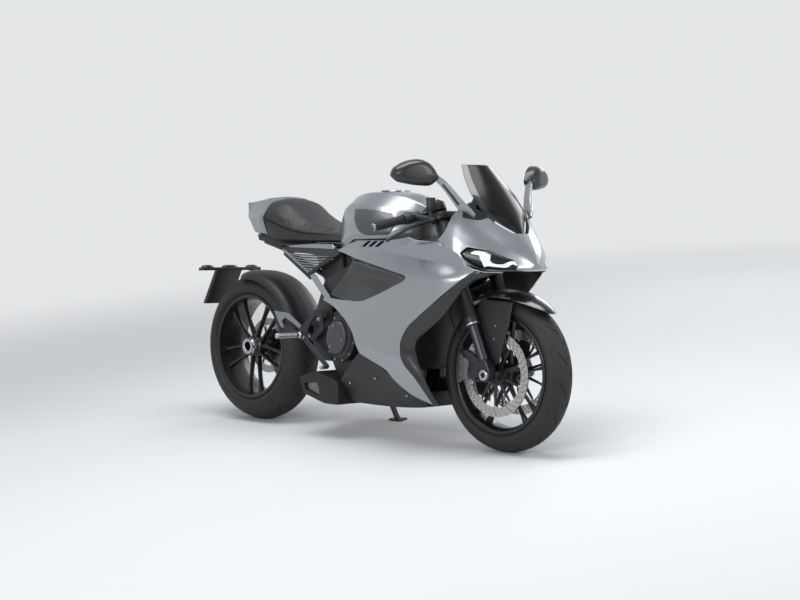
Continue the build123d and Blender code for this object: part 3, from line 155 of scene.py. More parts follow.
glow = add(tree, "ShaderNodeEmission", {"Color": BACKDROP, "Strength": 1.0})
dull = add(tree, "ShaderNodeEmission", {"Color": BACKDROP, "Strength": 0.25})
far = add(tree, "ShaderNodeMixShader", {0: seen_directly(tree), 1: dull.outputs[0], 2: glow.outputs[0]})
blend = add(tree, "ShaderNodeMixShader", {0: fade.outputs[0], 1: matt.outputs[0], 2: far.outputs[0]})
tree.links.new(blend.outputs[0], tree.nodes["Material Output"].inputs["Surface"])
floor_mesh.materials.append(floor_paint)

LAMPS = (
    # name, place, aim, size x, size y, watts
    ("overhead", (0.3, -0.3, 4.0), (0.0, 0.0, 0.4), 4.0, 1.6, 150.0),
    ("right_side", (1.6, -4.4, 2.4), (0.0, 0.0, 0.5), 3.6, 1.4, 95.0),
    ("left_side", (-0.5, 4.6, 2.2), (0.0, 0.0, 0.5), 3.0, 1.6, 60.0),
    ("ahead", (4.6, 0.8, 2.0), (0.4, 0.0, 0.6), 1.8, 1.8, 55.0),
)
for name, place, aim, long_side, short_side, watts in LAMPS:
    lamp = bpy.data.lights.new(name, "AREA")
    lamp.shape = "RECTANGLE"
    lamp.size, lamp.size_y, lamp.energy = long_side, short_side, watts
    holder = bpy.data.objects.new(name, lamp)
    holder.location = place
    holder.rotation_euler = (Vector(aim) - Vector(place)).to_track_quat("-Z", "Y").to_euler()
    bpy.context.scene.collection.objects.link(holder)
bpy.context.scene.view_settings.view_transform = "Standard"
print("lamps", [row[0] for row in LAMPS])

# %% [markdown]
# ## Finishes
# Each material is named for the real one. A common builder gives it what all real surfaces have:
# a colour that drifts a little, a roughness that is uneven, and a fine relief at its real scale.


# %% The material builder
def finish(name, colour, drift, roughness, metallic=0.0, grain=0.0, relief=0.0, coat=0.0, **sockets):
    """Principled material: colour drifts to a second one, grain in mm, relief in mm."""
    made = bpy.data.materials.new(name)
    made.use_nodes = True
    tree = made.node_tree
    shader = tree.nodes["Principled BSDF"]
    where = add(tree, "ShaderNodeTexCoord").outputs["Object"]
    broad = add(tree, "ShaderNodeTexNoise", {"Vector": where, "Scale": 14.0, "Detail": 4.0})
    mix = add(tree, "ShaderNodeMix", {
        "Factor": broad.outputs[0], "A": linear(colour), "B": linear(drift),
    }, data_type="RGBA")
    tree.links.new(mix.outputs["Result"], shader.inputs["Base Color"])
    fine = add(tree, "ShaderNodeTexNoise", {"Vector": where, "Scale": 60.0, "Detail": 3.0})
    uneven = 0.02 if coat >= 0.5 else 0.12
    low, high = roughness * (1 - uneven), roughness * (1 + uneven)
    spread = add(tree, "ShaderNodeMapRange", {"Value": fine.outputs[0], "To Min": low, "To Max": high})
    tree.links.new(spread.outputs[0], shader.inputs["Roughness"])
    shader.inputs["Metallic"].default_value = metallic
    shader.inputs["Coat Weight"].default_value = coat
    shader.inputs["Coat Roughness"].default_value = 0.04
    for key, value in sockets.items():
        shader.inputs[key.replace("_", " ")].default_value = value
    if relief:
        cells = add(tree, "ShaderNodeTexNoise", {"Vector": where, "Scale": 1000.0 / grain, "Detail": 2.0})
        bump = add(tree, "ShaderNodeBump", {
            "Strength": 0.6, "Distance": relief / 1000, "Height": cells.outputs[0],
        })
        tree.links.new(bump.outputs[0], shader.inputs["Normal"])
    return made


# %% The finishes
SILVER = finish("metallic_silver_lacquer", "#96999D", "#94979B", 0.3, 0.85, 1.2, 0.0, 0.8)
MOULDED = finish("moulded_black_abs", "#151618", "#191A1C", 0.48, 0.0, 1.6, 0.05)
GLOSSY = finish("gloss_black_abs", "#111214", "#141518", 0.2, 0.0, 2.0, 0.01, 0.3)
FRAME_PAINT = finish("satin_black_powder_coat", "#161719", "#1A1B1D", 0.42, 0.1, 1.4, 0.04)
CASTING = finish("dark_painted_casting", "#232426", "#2A2B2D", 0.5, 0.35, 2.2, 0.12)
COVER = finish("satin_engine_cover", "#2C2D2F", "#313234", 0.4, 0.45, 1.8, 0.06)
ALUMINIUM = finish("machined_aluminium", "#A9ABAE", "#B4B6B8", 0.3, 1.0, 1.0, 0.02)
ANODISED = finish("dark_anodised_aluminium", "#3B3C40", "#424347", 0.33, 0.9, 1.0, 0.02)
STEEL = finish("ground_rotor_steel", "#A6A6A6", "#B6B5B3", 0.32, 1.0, 0.8, 0.02)
BOLT_STEEL = finish("zinc_plated_bolt", "#8E8F91", "#9A9B9D", 0.34, 1.0, 0.6, 0.02)
CHAIN_STEEL = finish("oiled_chain_steel", "#6E6B66", "#7D7972", 0.4, 1.0, 0.8, 0.03)
WHEEL_PAINT = finish("satin_black_wheel_paint", "#121315", "#161719", 0.34, 0.2, 1.4, 0.02, 0.2)
TYRE_RUBBER = finish("road_tyre_rubber", "#131314", "#18181A", 0.66, 0.0, 1.5, 0.1)
GRIP_RUBBER = finish("moulded_grip_rubber", "#121213", "#161617", 0.72, 0.0, 1.2, 0.15)
HEADER_STEEL = finish("heat_tinted_steel", "#6B5F55", "#4E4A4B", 0.38, 1.0, 1.5, 0.03)
SILENCER_COAT = finish("matte_ceramic_coat", "#18191B", "#1E1E20", 0.6, 0.2, 1.2, 0.08)
GRAINED = finish("grained_seat_vinyl", "#1B1C1E", "#1F2022", 0.52, 0.0, 2.6, 0.22)
RED_LENS = finish("red_lamp_acrylic", "#7A0F12", "#6E0C10", 0.12, 0.0, 3.0, 0.01, 0.6)
print("finishes", len(bpy.data.materials))

# %% [markdown]
# ## Small tools for shapes


# %% Mesh tools
MM = 0.001
MERGE = 0.02 * MM  # points closer than this are one


def new_piece(name, verts, faces):
    """A mesh object from upright points in millimetres."""
    mesh = bpy.data.meshes.new(name)
    mesh.from_pydata([tuple(c * MM for c in v) for v in verts], [], faces)
    made = bpy.data.objects.new(name, mesh)
    bpy.context.scene.collection.objects.link(made)
    return made


def modify(piece, kind, **settings):
    """Add a modifier with its settings."""
    made = piece.modifiers.new(kind.title(), kind)
    for key, value in settings.items():
        setattr(made, key, value)
    return made


def tidy(piece, merge=MERGE):
    """Merge doubles and point the faces outwards."""
    form = bmesh.new()
    form.from_mesh(piece.data)
    bmesh.ops.remove_doubles(form, verts=form.verts, dist=merge)
    bmesh.ops.recalc_face_normals(form, faces=form.faces)
    form.to_mesh(piece.data)
    form.free()


def closed(name, verts, faces, merge=MERGE):
    """A new piece with its doubles merged and its faces pointing outwards."""
    piece = new_piece(name, verts, faces)
    tidy(piece, merge)
    return piece


def bevelled(piece, width, degrees=50, segments=2):
    """Round the edges that turn by more than an angle, by a width in millimetres."""
    limit = math.radians(degrees)
    modify(piece, "BEVEL", width=width * MM, segments=segments, limit_method="ANGLE", angle_limit=limit)
    return piece


def walled(piece, wall, side=-1.0):
    """Give an open skin a wall in millimetres: behind its faces, or before them at side 1."""
    modify(piece, "SOLIDIFY", thickness=wall * MM, offset=side)
    return piece


def applied(piece):
    """The piece's mesh with its modifiers applied."""
    bpy.context.view_layer.update()
    ready = piece.evaluated_get(bpy.context.evaluated_depsgraph_get())
    return bpy.data.meshes.new_from_object(ready)


def baked(piece):
    """Put the applied mesh in place of the piece's own one and its modifiers."""
    mesh = applied(piece)
    piece.modifiers.clear()
    piece.data = mesh
    return mesh


# %% Points and faces of rings and grids
def circle(radius, count, x=0.0, z=0.0):
    """Points evenly round a centre, in the side view."""
    turns = [2 * math.pi * k / count for k in range(count)]
    return [(x + radius * math.cos(t), z + radius * math.sin(t)) for t in turns]


def arc(centre, radius, start, end, parts):
    """Points of a round stretch in the side view, between two angles."""
    turns = [start + (end - start) * k / parts for k in range(parts + 1)]
    return [(centre[0] + radius * math.cos(t), centre[1] + radius * math.sin(t)) for t in turns]


def about(axle, radius, turn, y):
    """The point at a radius and an angle round an axle (x, z)."""
    return (axle[0] + radius * math.cos(turn), y, axle[1] + radius * math.sin(turn))


def grid_faces(rows, across):
    """Faces of a grid whose points run across it, row by row."""
    wide = across + 1
    starts = [i * wide + k for i in range(rows) for k in range(across)]
    return [(j, j + 1, j + wide + 1, j + wide) for j in starts]


OPEN = (False, False)


def tube_faces(rows, count, caps=(True, True)):
    """Faces over rings of equal count, one after the other, with a cap at either end."""
    pairs = [(i * count + k, i * count + (k + 1) % count) for i in range(rows) for k in range(count)]
    faces = [(a, b, b + count, a + count) for a, b in pairs]
    if caps[0]:
        faces.append(tuple(reversed(range(count))))
    if caps[1]:
        faces.append(tuple(range(rows * count, (rows + 1) * count)))
    return faces


def renumbered(faces, base):
    """The faces of a mesh whose points follow others."""
    return [tuple(base + i for i in face) for face in faces]


def settle(piece, body, material, replaces=(), angle=40.0, parked=False):
    """Apply the modifiers, park the mesh, shade it and tie it to its body."""
    mesh = applied(piece)
    name = piece.name
    bpy.data.objects.remove(piece)
    done = bpy.data.objects.new(name, mesh)
    bpy.context.scene.collection.objects.link(done)
    if not parked:
        mesh.transform(PARK)
    mesh.materials.clear()
    mesh.materials.append(material)
    mesh.polygons.foreach_set("use_smooth", [True] * len(mesh.polygons))
    mesh.set_sharp_from_angle(angle=math.radians(angle))
    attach(done, body)
    if replaces:
        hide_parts(*replaces)
    print(name, len(mesh.polygons), "faces")
    return done


def mirrored(piece):
    """Add the left-hand half of a piece that was drawn on the right."""
    modify(piece, "MIRROR", use_axis=(False, True, False), use_clip=False, use_mirror_merge=False)
    return piece


def pair(piece, body, material, replaces=(), angle=40.0):
    """Mirror a right-hand piece and settle both halves."""
    return settle(mirrored(piece), body, material, replaces, angle)


body_of_node = {}
for body, members in frame["record"]["behaviour"]["bodies"].items():
    for member in members:
        body_of_node[member] = body


def softened(node, material, width=1.5, angle=32.0, segments=2):
    """The CAD node's own shape with rounded edges, in place of its sharp mesh."""
    piece = bpy.data.objects.new(node + "_dressed", frame["nodes"][node].data.copy())
    bpy.context.scene.collection.objects.link(piece)
    tidy(piece)
    dissolve = modify(piece, "DECIMATE", decimate_type="DISSOLVE")
    dissolve.angle_limit = math.radians(1.0)
    bevelled(piece, width, 30, segments)
    return settle(piece, body_of_node[node], material, (node,), angle, parked=True)


# %% [markdown]
# ## Smooth bodywork
# Body panels are stamped or moulded skins: a surface that flows along the machine, with a few hard
# feature lines, cut by an outline. The same three steps make them here. Feature lines hold the
# surface at stations along x, a smooth curve joins them, and a triangulated patch is cut out in
# the side view and lifted onto the surface. Its rim rolls inwards by a few millimetres, as a
# moulded edge does, so that it catches the light.


# %% Smooth curves
def slopes(xs, ys, hard=()):
    """Slope at each knot of a smooth curve that doesn't overshoot; hard knots get two."""
    steps = [(ys[i + 1] - ys[i]) / (xs[i + 1] - xs[i]) for i in range(len(xs) - 1)]
    before, after = [steps[0]], [steps[0]]
    for i in range(1, len(xs) - 1):
        a, b = steps[i - 1], steps[i]
        if i in hard:
            before.append(a)
            after.append(b)
        else:
            mean = 0.0 if a * b <= 0 else 2 * a * b / (a + b)
            before.append(mean)
            after.append(mean)
    before.append(steps[-1])
    after.append(steps[-1])
    return before, after


def curve(xs, ys, hard=()):
    """A function through the knots, smooth except at the hard ones."""
    before, after = slopes(xs, ys, hard)

    def at(x):
        x = min(max(x, xs[0]), xs[-1])
        i = 0
        while i < len(xs) - 2 and x > xs[i + 1]:
            i += 1
        span = xs[i + 1] - xs[i]
        t = (x - xs[i]) / span
        rise = ys[i + 1] - ys[i]
        a, b = after[i] * span - rise, rise - before[i + 1] * span
        return ys[i] + rise * t + t * (1 - t) * (a * (1 - t) + b * t)

    return at


def surface(stations, hard=()):
    """Side surface: stations of (x, [(z, y), ...] top to bottom); returns y at (x, z)."""
    xs = [s[0] for s in stations]
    rows = range(len(stations[0][1]))
    heights = [curve(xs, [s[1][r][0] for s in stations]) for r in rows]
    widths = [curve(xs, [s[1][r][1] for s in stations]) for r in rows]
    held = {}

    def at(x, z):
        key = round(x, 1)
        if key not in held:
            zs = [-heights[r](x) for r in rows]
            held[key] = curve(zs, [widths[r](x) for r in rows], hard)
        return held[key](-z)

    at.line = lambda r, x: (x, heights[r](x))
    return at


# %% Outlines in the side view
def rounded(points, radius, parts=5):
    """Corner points (x, z) or (x, z, own radius) as a ring with rounded corners."""
    ring = []
    count = len(points)
    for i, point in enumerate(points):
        here = Vector(point[:2])
        back = Vector(points[i - 1][:2]) - here
        ahead = Vector(points[(i + 1) % count][:2]) - here
        reach = point[2] if len(point) > 2 else radius
        reach = min(reach, back.length * 0.49, ahead.length * 0.49)
        if reach < 0.05:
            ring.append(tuple(here))
            continue
        start, end = here + back.normalized() * reach, here + ahead.normalized() * reach
        for k in range(parts + 1):
            t = k / parts
            ring.append(tuple((1 - t) ** 2 * start + 2 * t * (1 - t) * here + t * t * end))
    return ring


def walked(ring, step, looped=True):
    """The ring, or an open line, with points no further apart than a step."""
    out = []
    last = len(ring) if looped else len(ring) - 1
    for i in range(last):
        a, b = Vector(ring[i]), Vector(ring[(i + 1) % len(ring)])
        pieces = max(1, math.ceil((b - a).length / step))
        out += [tuple(a.lerp(b, k / pieces)) for k in range(pieces)]
    if not looped:
        out.append(tuple(ring[-1]))
    return out


def inset(ring, by):
    """The ring moved inwards by a distance."""
    area = sum(ring[i - 1][0] * ring[i][1] - ring[i][0] * ring[i - 1][1] for i in range(len(ring)))
    turn = 1 if area > 0 else -1
    out = []
    for i in range(len(ring)):
        a, b, c = Vector(ring[i - 1]), Vector(ring[i]), Vector(ring[(i + 1) % len(ring)])
        one, two = (b - a).normalized(), (c - b).normalized()
        normal = Vector((-(one + two).y, (one + two).x)) * turn
        normal = normal.normalized() if normal.length > 1e-6 else Vector((-one.y, one.x)) * turn
        out.append(tuple(b + normal * by / max(0.5, normal.dot(Vector((-one.y, one.x)) * turn))))
    return out


def inside(point, ring):
    """Whether a point lies inside a ring."""
    x, z = point
    odd = False
    for i in range(len(ring)):
        (xa, za), (xb, zb) = ring[i - 1], ring[i]
        if (za > z) != (zb > z) and x < (xb - xa) * (z - za) / (zb - za) + xa:
            odd = not odd
    return odd


def patch(ring, step, lines=(), holes=(), rim=2.5):
    """Triangles that fill a ring, with rows along its rim: (points, rim depth, triangles)."""
    ring = walked(ring, step)
    rings = [(ring, 0.0), (inset(ring, rim * 0.3), rim * 0.3), (inset(ring, rim), rim)]
    for hole in holes:
        hole = walked(hole, step)
        rings += [(hole, 0.0), (inset(hole, -rim * 0.3), rim * 0.3), (inset(hole, -rim), rim)]
    points, depth, edges = [], [], []
    for loop, far in rings:
        start = len(points)
        points += loop
        depth += [far] * len(loop)
        if far == 0.0:
            edges += [(start + i, start + (i + 1) % len(loop)) for i in range(len(loop))]
    inner = rings[2][0]
    for line in lines:
        line = [p for p in walked(line, step, looped=False) if inside(p, inner)]
        start = len(points)
        points += line
        depth += [rim] * len(line)
        edges += [(start + i, start + i + 1) for i in range(len(line) - 1)]
    xs, zs = [p[0] for p in inner], [p[1] for p in inner]
    near = {}
    for p in points:
        near.setdefault((int(p[0] // step), int(p[1] // step)), []).append(p)
    row = 0
    z = min(zs)
    while z < max(zs):
        x = min(xs) + (row % 2) * step / 2
        while x < max(xs):
            cell = (int(x // step), int(z // step))
            close = any(
                (x - q[0]) ** 2 + (z - q[1]) ** 2 < (0.6 * step) ** 2
                for i in (-1, 0, 1) for j in (-1, 0, 1) for q in near.get((cell[0] + i, cell[1] + j), ())
            )
            if not close and inside((x, z), inner):
                points.append((x, z))
                depth.append(rim)
            x += step
        z += step * 0.866
        row += 1
    made = delaunay_2d_cdt([Vector(p) for p in points], edges, [], 0, 1e-4)
    verts, faces, origin = made[0], made[2], made[3]
    far = [depth[o[0]] if o else rim for o in origin]
    kept = []
    for face in faces:
        middle = (sum(verts[i].x for i in face) / 3, sum(verts[i].y for i in face) / 3)
        if inside(middle, ring) and not any(inside(middle, h) for h, f in rings[3:] if f == 0.0):
            kept.append(tuple(face))
    return [tuple(v) for v in verts], far, kept


def skin(name, ring, field, step=9.0, wall=3.0, lines=(), holes=(), rim=2.5):
    """A right-hand panel: a patch lifted onto a side surface, with a wall and a rolled rim."""
    points, far, faces = patch(ring, step, lines, holes, rim)
    verts = []
    for (x, z), deep in zip(points, far):
        roll = rim - math.sqrt(max(0.0, rim * rim - (rim - deep) ** 2))
        verts.append((x, -(field(x, z) - roll), z))
    piece = new_piece(name, verts, faces)
    form = bmesh.new()
    form.from_mesh(piece.data)
    bmesh.ops.recalc_face_normals(form, faces=form.faces)
    if sum(f.normal.y * f.calc_area() for f in form.faces) > 0:
        bmesh.ops.reverse_faces(form, faces=form.faces)
    form.to_mesh(piece.data)
    form.free()
    return walled(piece, wall)


# %% [markdown]
# ## Repeated small things
# Screws, bolts, holes' rims and links repeat all over a machine. A Geometry Nodes tree sets one
# small shape on every point of a mesh, turned to the direction that the point carries, so the
# script only lists places. Each copy is also turned about its own axis by a seeded random angle,
# because no mechanic lines up the sockets of their screws.


# %% The tree of copies
def start_tree(name, **sockets):
    """A new tree with named inputs and one output: the tree, its identifiers, its values."""
    tree = bpy.data.node_groups.new(name, "GeometryNodeTree")
    inputs = {}
    for label, kind in sockets.items():
        made = tree.interface.new_socket(label, in_out="INPUT", socket_type="NodeSocket" + kind)
        inputs[label] = made.identifier
    tree.interface.new_socket("Copies", in_out="OUTPUT", socket_type="NodeSocketGeometry")
    return tree, inputs, add(tree, "NodeGroupInput").outputs


def end_tree(tree, placed, given):
    """Make the copies real, give them their finish and end the tree."""
    real = add(tree, "GeometryNodeRealizeInstances", {"Geometry": placed.outputs[0]})
    ends = {"Geometry": real.outputs[0], "Material": given["Finish"]}
    dressed = add(tree, "GeometryNodeSetMaterial", ends)
    add(tree, "NodeGroupOutput", {"Copies": dressed.outputs[0]})


def run_tree(piece, tree, inputs, **values):
    """Put a tree on a piece, with each input set by its socket's identifier."""
    made = piece.modifiers.new("copies", "NODES")
    made.node_group = tree
    for label, value in values.items():
        made[inputs[label]] = value


copy_tree, copy_inputs, given = start_tree(
    "copies_on_points", Points="Geometry", Unit="Object", Size="Float", Finish="Material", Turn="Float",
    Seed="Int",
)
unit = add(copy_tree, "GeometryNodeObjectInfo", {"Object": given["Unit"]}, transform_space="ORIGINAL")
toward = add(copy_tree, "GeometryNodeInputNamedAttribute", {"Name": "facing"}, data_type="FLOAT_VECTOR")
leant = add(copy_tree, "FunctionNodeAlignRotationToVector", {"Vector": toward.outputs[0]}, axis="Z")
chance = {"Min": 0.0, "Max": given["Turn"], "Seed": given["Seed"]}
angle = add(copy_tree, "FunctionNodeRandomValue", chance, data_type="FLOAT")
spin = add(copy_tree, "FunctionNodeAxisAngleToRotation", {"Angle": angle.outputs[1]})
turns = {"Rotation": leant.outputs[0], "Rotate By": spin.outputs[0]}
turned = add(copy_tree, "FunctionNodeRotateRotation", turns, rotation_space="LOCAL")
placed = add(copy_tree, "GeometryNodeInstanceOnPoints", {
    "Points": given["Points"], "Instance": unit.outputs["Geometry"], "Rotation": turned.outputs[0],
    "Scale": given["Size"],
})
end_tree(copy_tree, placed, given)
print("inputs of the tree", list(copy_inputs))


# %% Turned units and their copies
def lathe(name, profile, segments=24):
    """A turned shape about z from (radius, z) points, closed at both ends."""
    verts = [(x, y, z) for r, z in profile for x, y in circle(r, segments)]
    return closed(name, verts, tube_faces(len(profile) - 1, segments))


def copies(name, unit, spots, body, material, size=1.0, turn=6.28, seed=3, angle=35):
    """Copies of a unit at (place, facing) spots, in upright millimetres."""
    holder = new_piece(name, [place for place, facing in spots], [])
    held = holder.data.attributes.new("facing", "FLOAT_VECTOR", "POINT")
    held.data.foreach_set("vector", [c for place, facing in spots for c in facing])
    run_tree(holder, copy_tree, copy_inputs, Unit=unit, Size=size, Finish=material, Turn=turn, Seed=seed)
    return settle(holder, body, material, (), angle)


def both_sides(points):
    """Spots at right-hand points and at their left-hand twins, facing outwards."""
    return [((x, sign * y, z), (0, sign, 0)) for x, y, z in points for sign in (-1, 1)]


def hidden_unit(piece):
    """Keep a unit out of the scene; the tree still reads it."""
    bpy.context.scene.collection.objects.unlink(piece)
    return piece


# Socket cap screw: a turned head; its socket is only a plain dark hollow at this size.
SCREW = hidden_unit(lathe("socket_screw", [(2.2, 0.4), (2.2, 2.9), (4.1, 2.9), (4.5, 2.5), (4.5, 0.0)], 12))
HEX_BOLT = hidden_unit(
    lathe("hex_bolt", [(4.6, 5.0), (6.4, 5.0), (7.0, 4.4), (7.0, 1.2), (9.0, 1.2), (9.0, 0.0)], 6),
)
BUTTON = hidden_unit(lathe("button_screw", [(1.3, 0.9), (1.3, 2.0), (3.0, 1.7), (4.4, 0.6), (4.6, 0.0)], 12))
print("units", SCREW.name, HEX_BOLT.name, BUTTON.name)

# %% [markdown]
# ### Closed forms
# A tank, a seat or a nose is a body with the same half-section on both sides. Stations along x
# hold the half-section from its lower centre to its upper centre, and smooth curves run through
# them both ways. The result is a dense, even mesh, which a glossy paint needs.


# %% Form builder
def form(name, stations, hard=(), along=40, around=8):
    """A closed symmetrical body from (x, half-section) stations; hard rows are feature lines."""
    xs = [s[0] for s in stations]
    rows = len(stations[0][1])
    ys = [curve(xs, [s[1][r][0] for s in stations]) for r in range(rows)]
    zs = [curve(xs, [s[1][r][1] for s in stations]) for r in range(rows)]
    knots = list(range(-1, rows + 1))
    shifted = [h + 1 for h in hard]
    verts = []
    for i in range(along + 1):
        x = xs[0] + (xs[-1] - xs[0]) * i / along
        half = [(ys[r](x), zs[r](x)) for r in range(rows)]
        full = [(-half[1][0], half[1][1])] + half + [(-half[-2][0], half[-2][1])]
        across = curve(knots, [p[0] for p in full], shifted)
        upward = curve(knots, [p[1] for p in full], shifted)
        steps = [k / around for k in range((rows - 1) * around + 1)]
        right = [(x, -max(0.0, across(t)), upward(t)) for t in steps]
        left = [(x, -y, z) for x, y, z in reversed(right[1:-1])]
        verts += right + left
    return closed(name, verts, tube_faces(along, len(right) + len(left)))


def block(name, ring, y_from, y_to):
    """An upright prism from a side-view ring between two side offsets."""
    count = len(ring)
    verts = [(x, y_from, z) for x, z in ring] + [(x, y_to, z) for x, z in ring]
    faces = [tuple(range(count)), tuple(range(count, 2 * count))]
    faces += tube_faces(1, count, OPEN)
    return closed(name, verts, faces)


def carve(piece, *tools, operation="DIFFERENCE"):
    """Cut tools out of a piece, or keep what they share."""
    for tool in tools:
        modify(piece, "BOOLEAN", object=tool, operation=operation, solver="EXACT")
    baked(piece)
    for tool in tools:
        bpy.data.objects.remove(tool)
    return piece


def shrunk(stations, by):
    """The stations with each half-section moved in by a wall."""
    out = []
    for x, half in stations:
        low, high = half[0][1], half[-1][1]
        middle, depth, width = (low + high) / 2, (high - low) / 2, max(p[0] for p in half)
        k, m = (width - by) / width, (depth - by) / depth
        out.append((x, [(p[0] * k, middle + (p[1] - middle) * m) for p in half]))
    return out


def side_of(stations, hard):
    """The side surface that a closed form's half-sections give."""
    return surface([(x, [(z, y) for y, z in reversed(half[1:-1])]) for x, half in stations], hard)


# %% [markdown]
# ### Side fairings
# The big silver panel swells from the tank seam to a shoulder level with the opening, runs nearly
# flat down to a crease, and tucks in to the wheel. Eight feature lines hold it, from the shelf
# under the bars down to the keel; three of them are hard.

# %% Side fairings
RIDGE, FOLD, CREASE = 1, 2, 6
SIDE = (
    # x, (z, y) of shelf, ridge, fold, shoulder, flank, lower flank, crease, keel
    (560, [(806, 124), (775, 140), (760, 147), (690, 157), (600, 163), (500, 168), (430, 168), (100, 108)]),
    (700, [(808, 146), (776, 166), (763, 172), (700, 181), (600, 186), (520, 192), (440, 198), (100, 112)]),
    (850, [(816, 176), (780, 201), (768, 206), (700, 214), (590, 214), (480, 220), (388, 227), (100, 126)]),
    (960, [(820, 180), (774, 215), (758, 211), (688, 228), (585, 231), (460, 234), (368, 238), (100, 130)]),
    (1150, [(822, 180), (783, 231), (737, 214), (662, 247), (560, 251), (430, 248), (340, 243), (100, 126)]),
    (1300, [(822, 205), (788, 239), (716, 217), (652, 249), (560, 248), (440, 238), (300, 217), (100, 120)]),
    (1450, [(800, 190), (770, 207), (694, 205), (650, 207), (570, 188), (450, 170), (300, 150), (100, 100)]),
)
side = surface(SIDE, hard=(RIDGE, FOLD, CREASE))
FAIRING = rounded((
    (663, 757, 2), (733, 783), (792, 800, 16), (900, 801), (989, 801), (1060, 808, 20), (1093, 814, 6),
    (1153, 804, 20), (1270, 797, 10), (1307, 803, 3), (1399, 752, 3), (1418, 712, 10), (1444, 699, 14),
    (1462, 690, 2), (1442, 680, 8), (1404, 653, 40), (1345, 607, 60), (1295, 569, 60), (1232, 525, 60),
    (1168, 481, 40), (1135, 447, 40), (1112, 403, 40), (1114, 350, 14), (1167, 261, 40), (1212, 168, 2),
    (1111, 198, 30), (1035, 250, 30), (1000, 296, 20), (937, 321, 30), (850, 350, 8), (829, 415, 60),
    (773, 470, 60), (678, 525, 60), (583, 553, 2), (596, 567, 3), (700, 559, 40), (866, 557, 40),
    (1007, 600, 60), (1130, 646, 16), (1144, 659, 8), (1132, 668, 8), (900, 712, 200),
), 12)
lines = (
    [side.line(RIDGE, x) for x in range(960, 1320, 12)],
    [side.line(FOLD, x) for x in range(960, 1480, 12)],
    [side.line(CREASE, x) for x in range(840, 1125, 12)],
)
VENTS = [
    rounded([(x, 775, 2), (x + 21, 775, 2), (x + 43, 797, 2), (x + 22, 797, 2)], 2) for x in (850, 891, 932)
]
for name, sign in (("side_fairing_right", 1), ("side_fairing_left", -1)):
    shell = skin(name + "_skin", FAIRING, side, 9.0, 3.4, lines, VENTS)
    if sign < 0:
        shell.data.transform(Matrix.Scale(-1, 4, (0, 1, 0)))
        shell.data.flip_normals()
    settle(shell, "chassis", SILVER, (name,), 24)


# %% Dark trims along the front edges
def strip(name, left, right, wall, bow=0.0, parts=8):
    """A band between two space curves of equal point count, bowed outwards in its middle."""
    verts = []
    for a, b in zip(left, right):
        a, b = Vector(a), Vector(b)
        for k in range(parts + 1):
            t = k / parts
            verts.append(a.lerp(b, t) + Vector((0, -bow * 4 * t * (1 - t), 0)))
    return bevelled(walled(new_piece(name, verts, grid_faces(len(left) - 1, parts)), wall), 0.8)


def space_curve(knots, count):
    """Points on a smooth curve through knots in space."""
    run = [0.0]
    for a, b in zip(knots, knots[1:]):
        run.append(run[-1] + (Vector(b) - Vector(a)).length)
    axes = [curve(run, [k[i] for k in knots]) for i in range(3)]
    return [tuple(f(run[-1] * n / (count - 1)) for f in axes) for n in range(count)]


SILVER_EDGE = (
    (1444, 684), (1404, 653), (1345, 607), (1232, 525), (1168, 481), (1130, 440), (1111, 400), (1115, 350),
    (1167, 261), (1213, 166),
)
TRIM_EDGE = (
    (1506, -126, 684), (1452, -168, 662), (1392, -192, 618), (1292, -203, 512), (1210, -205, 452),
    (1165, -204, 418), (1152, -202, 388), (1162, -200, 350), (1202, -183, 250), (1229, -143, 165),
)
silver_line = space_curve([(x + 1.0, -(side(x, z) - 2.6), z) for x, z in SILVER_EDGE], 90)
trim = strip("front_trim_bands", silver_line, space_curve(TRIM_EDGE, 90), 4.0, 3.0)
pair(trim, "chassis", GLOSSY, ("front_trims",))

# %% Ducts behind the openings
# A scoop moulded in gloss black: it starts level with the panel's upper edge and sweeps inwards.
SCOOP = (
    (600, [(780, 138), (742, 139), (712, 136), (650, 136), (600, 143), (540, 152)]),
    (700, [(780, 156), (738, 160), (706, 150), (650, 146), (600, 155), (540, 170)]),
    (800, [(780, 186), (733, 190), (706, 168), (655, 160), (606, 172), (540, 192)]),
    (900, [(770, 200), (716, 206), (692, 184), (650, 176), (606, 192), (545, 212)]),
    (1000, [(760, 214), (700, 222), (680, 200), (645, 193), (612, 206), (570, 226)]),
    (1100, [(750, 228), (680, 236), (664, 218), (644, 212), (626, 222), (590, 236)]),
    (1180, [(740, 238), (668, 243), (652, 234), (640, 230), (626, 234), (600, 238)]),
)
scoop = surface(SCOOP)
DUCT = rounded((
    (604, 577, 3), (700, 552, 30), (868, 548, 40), (1007, 590, 60), (1130, 634, 10), (1156, 659, 8),
    (1136, 678, 8), (900, 724), (760, 748, 10), (750, 716, 20),
), 10)
duct = skin("duct_scoops", DUCT, scoop, 10.0, 3.0)
pair(duct, "chassis", GLOSSY, ("duct_panels",))

# %% [markdown]
# ### Nose
# The nose is one hollow shell. Its cheek turns over a hard crease into the hood, the cockpit and
# the screen are cut out of its top, and the two lamp windows out of its sides.

# %% Nose shell
NOSE = (
    # x, half-section: floor, chin edge, cheek, crease, hood, ridge, centre
    (1296, [(0, 690), (227, 704), (243, 757), (241, 815), (234, 866), (210, 936), (0, 968)]),
    (1370, [(0, 690), (216, 699), (235, 750), (227, 816), (215, 866), (180, 936), (0, 964)]),
    (1415, [(0, 690), (196, 696), (219, 740), (208, 788), (187, 848), (134, 917), (0, 941)]),
    (1455, [(0, 690), (174, 692), (197, 728), (183, 778), (160, 824), (96, 888), (0, 903)]),
    (1514, [(0, 690), (132, 691), (153, 711), (136, 757), (110, 788), (40, 828), (0, 830)]),
    (1560, [(0, 690), (84, 692), (99, 703), (73, 733), (55, 751), (20, 769), (0, 771)]),
    (1588, [(0, 696), (20, 697), (25, 703), (19, 712), (14, 717), (6, 721), (0, 722)]),
)
nose = form("nose_shell", NOSE, hard=(1, 3, 5), along=56, around=8)
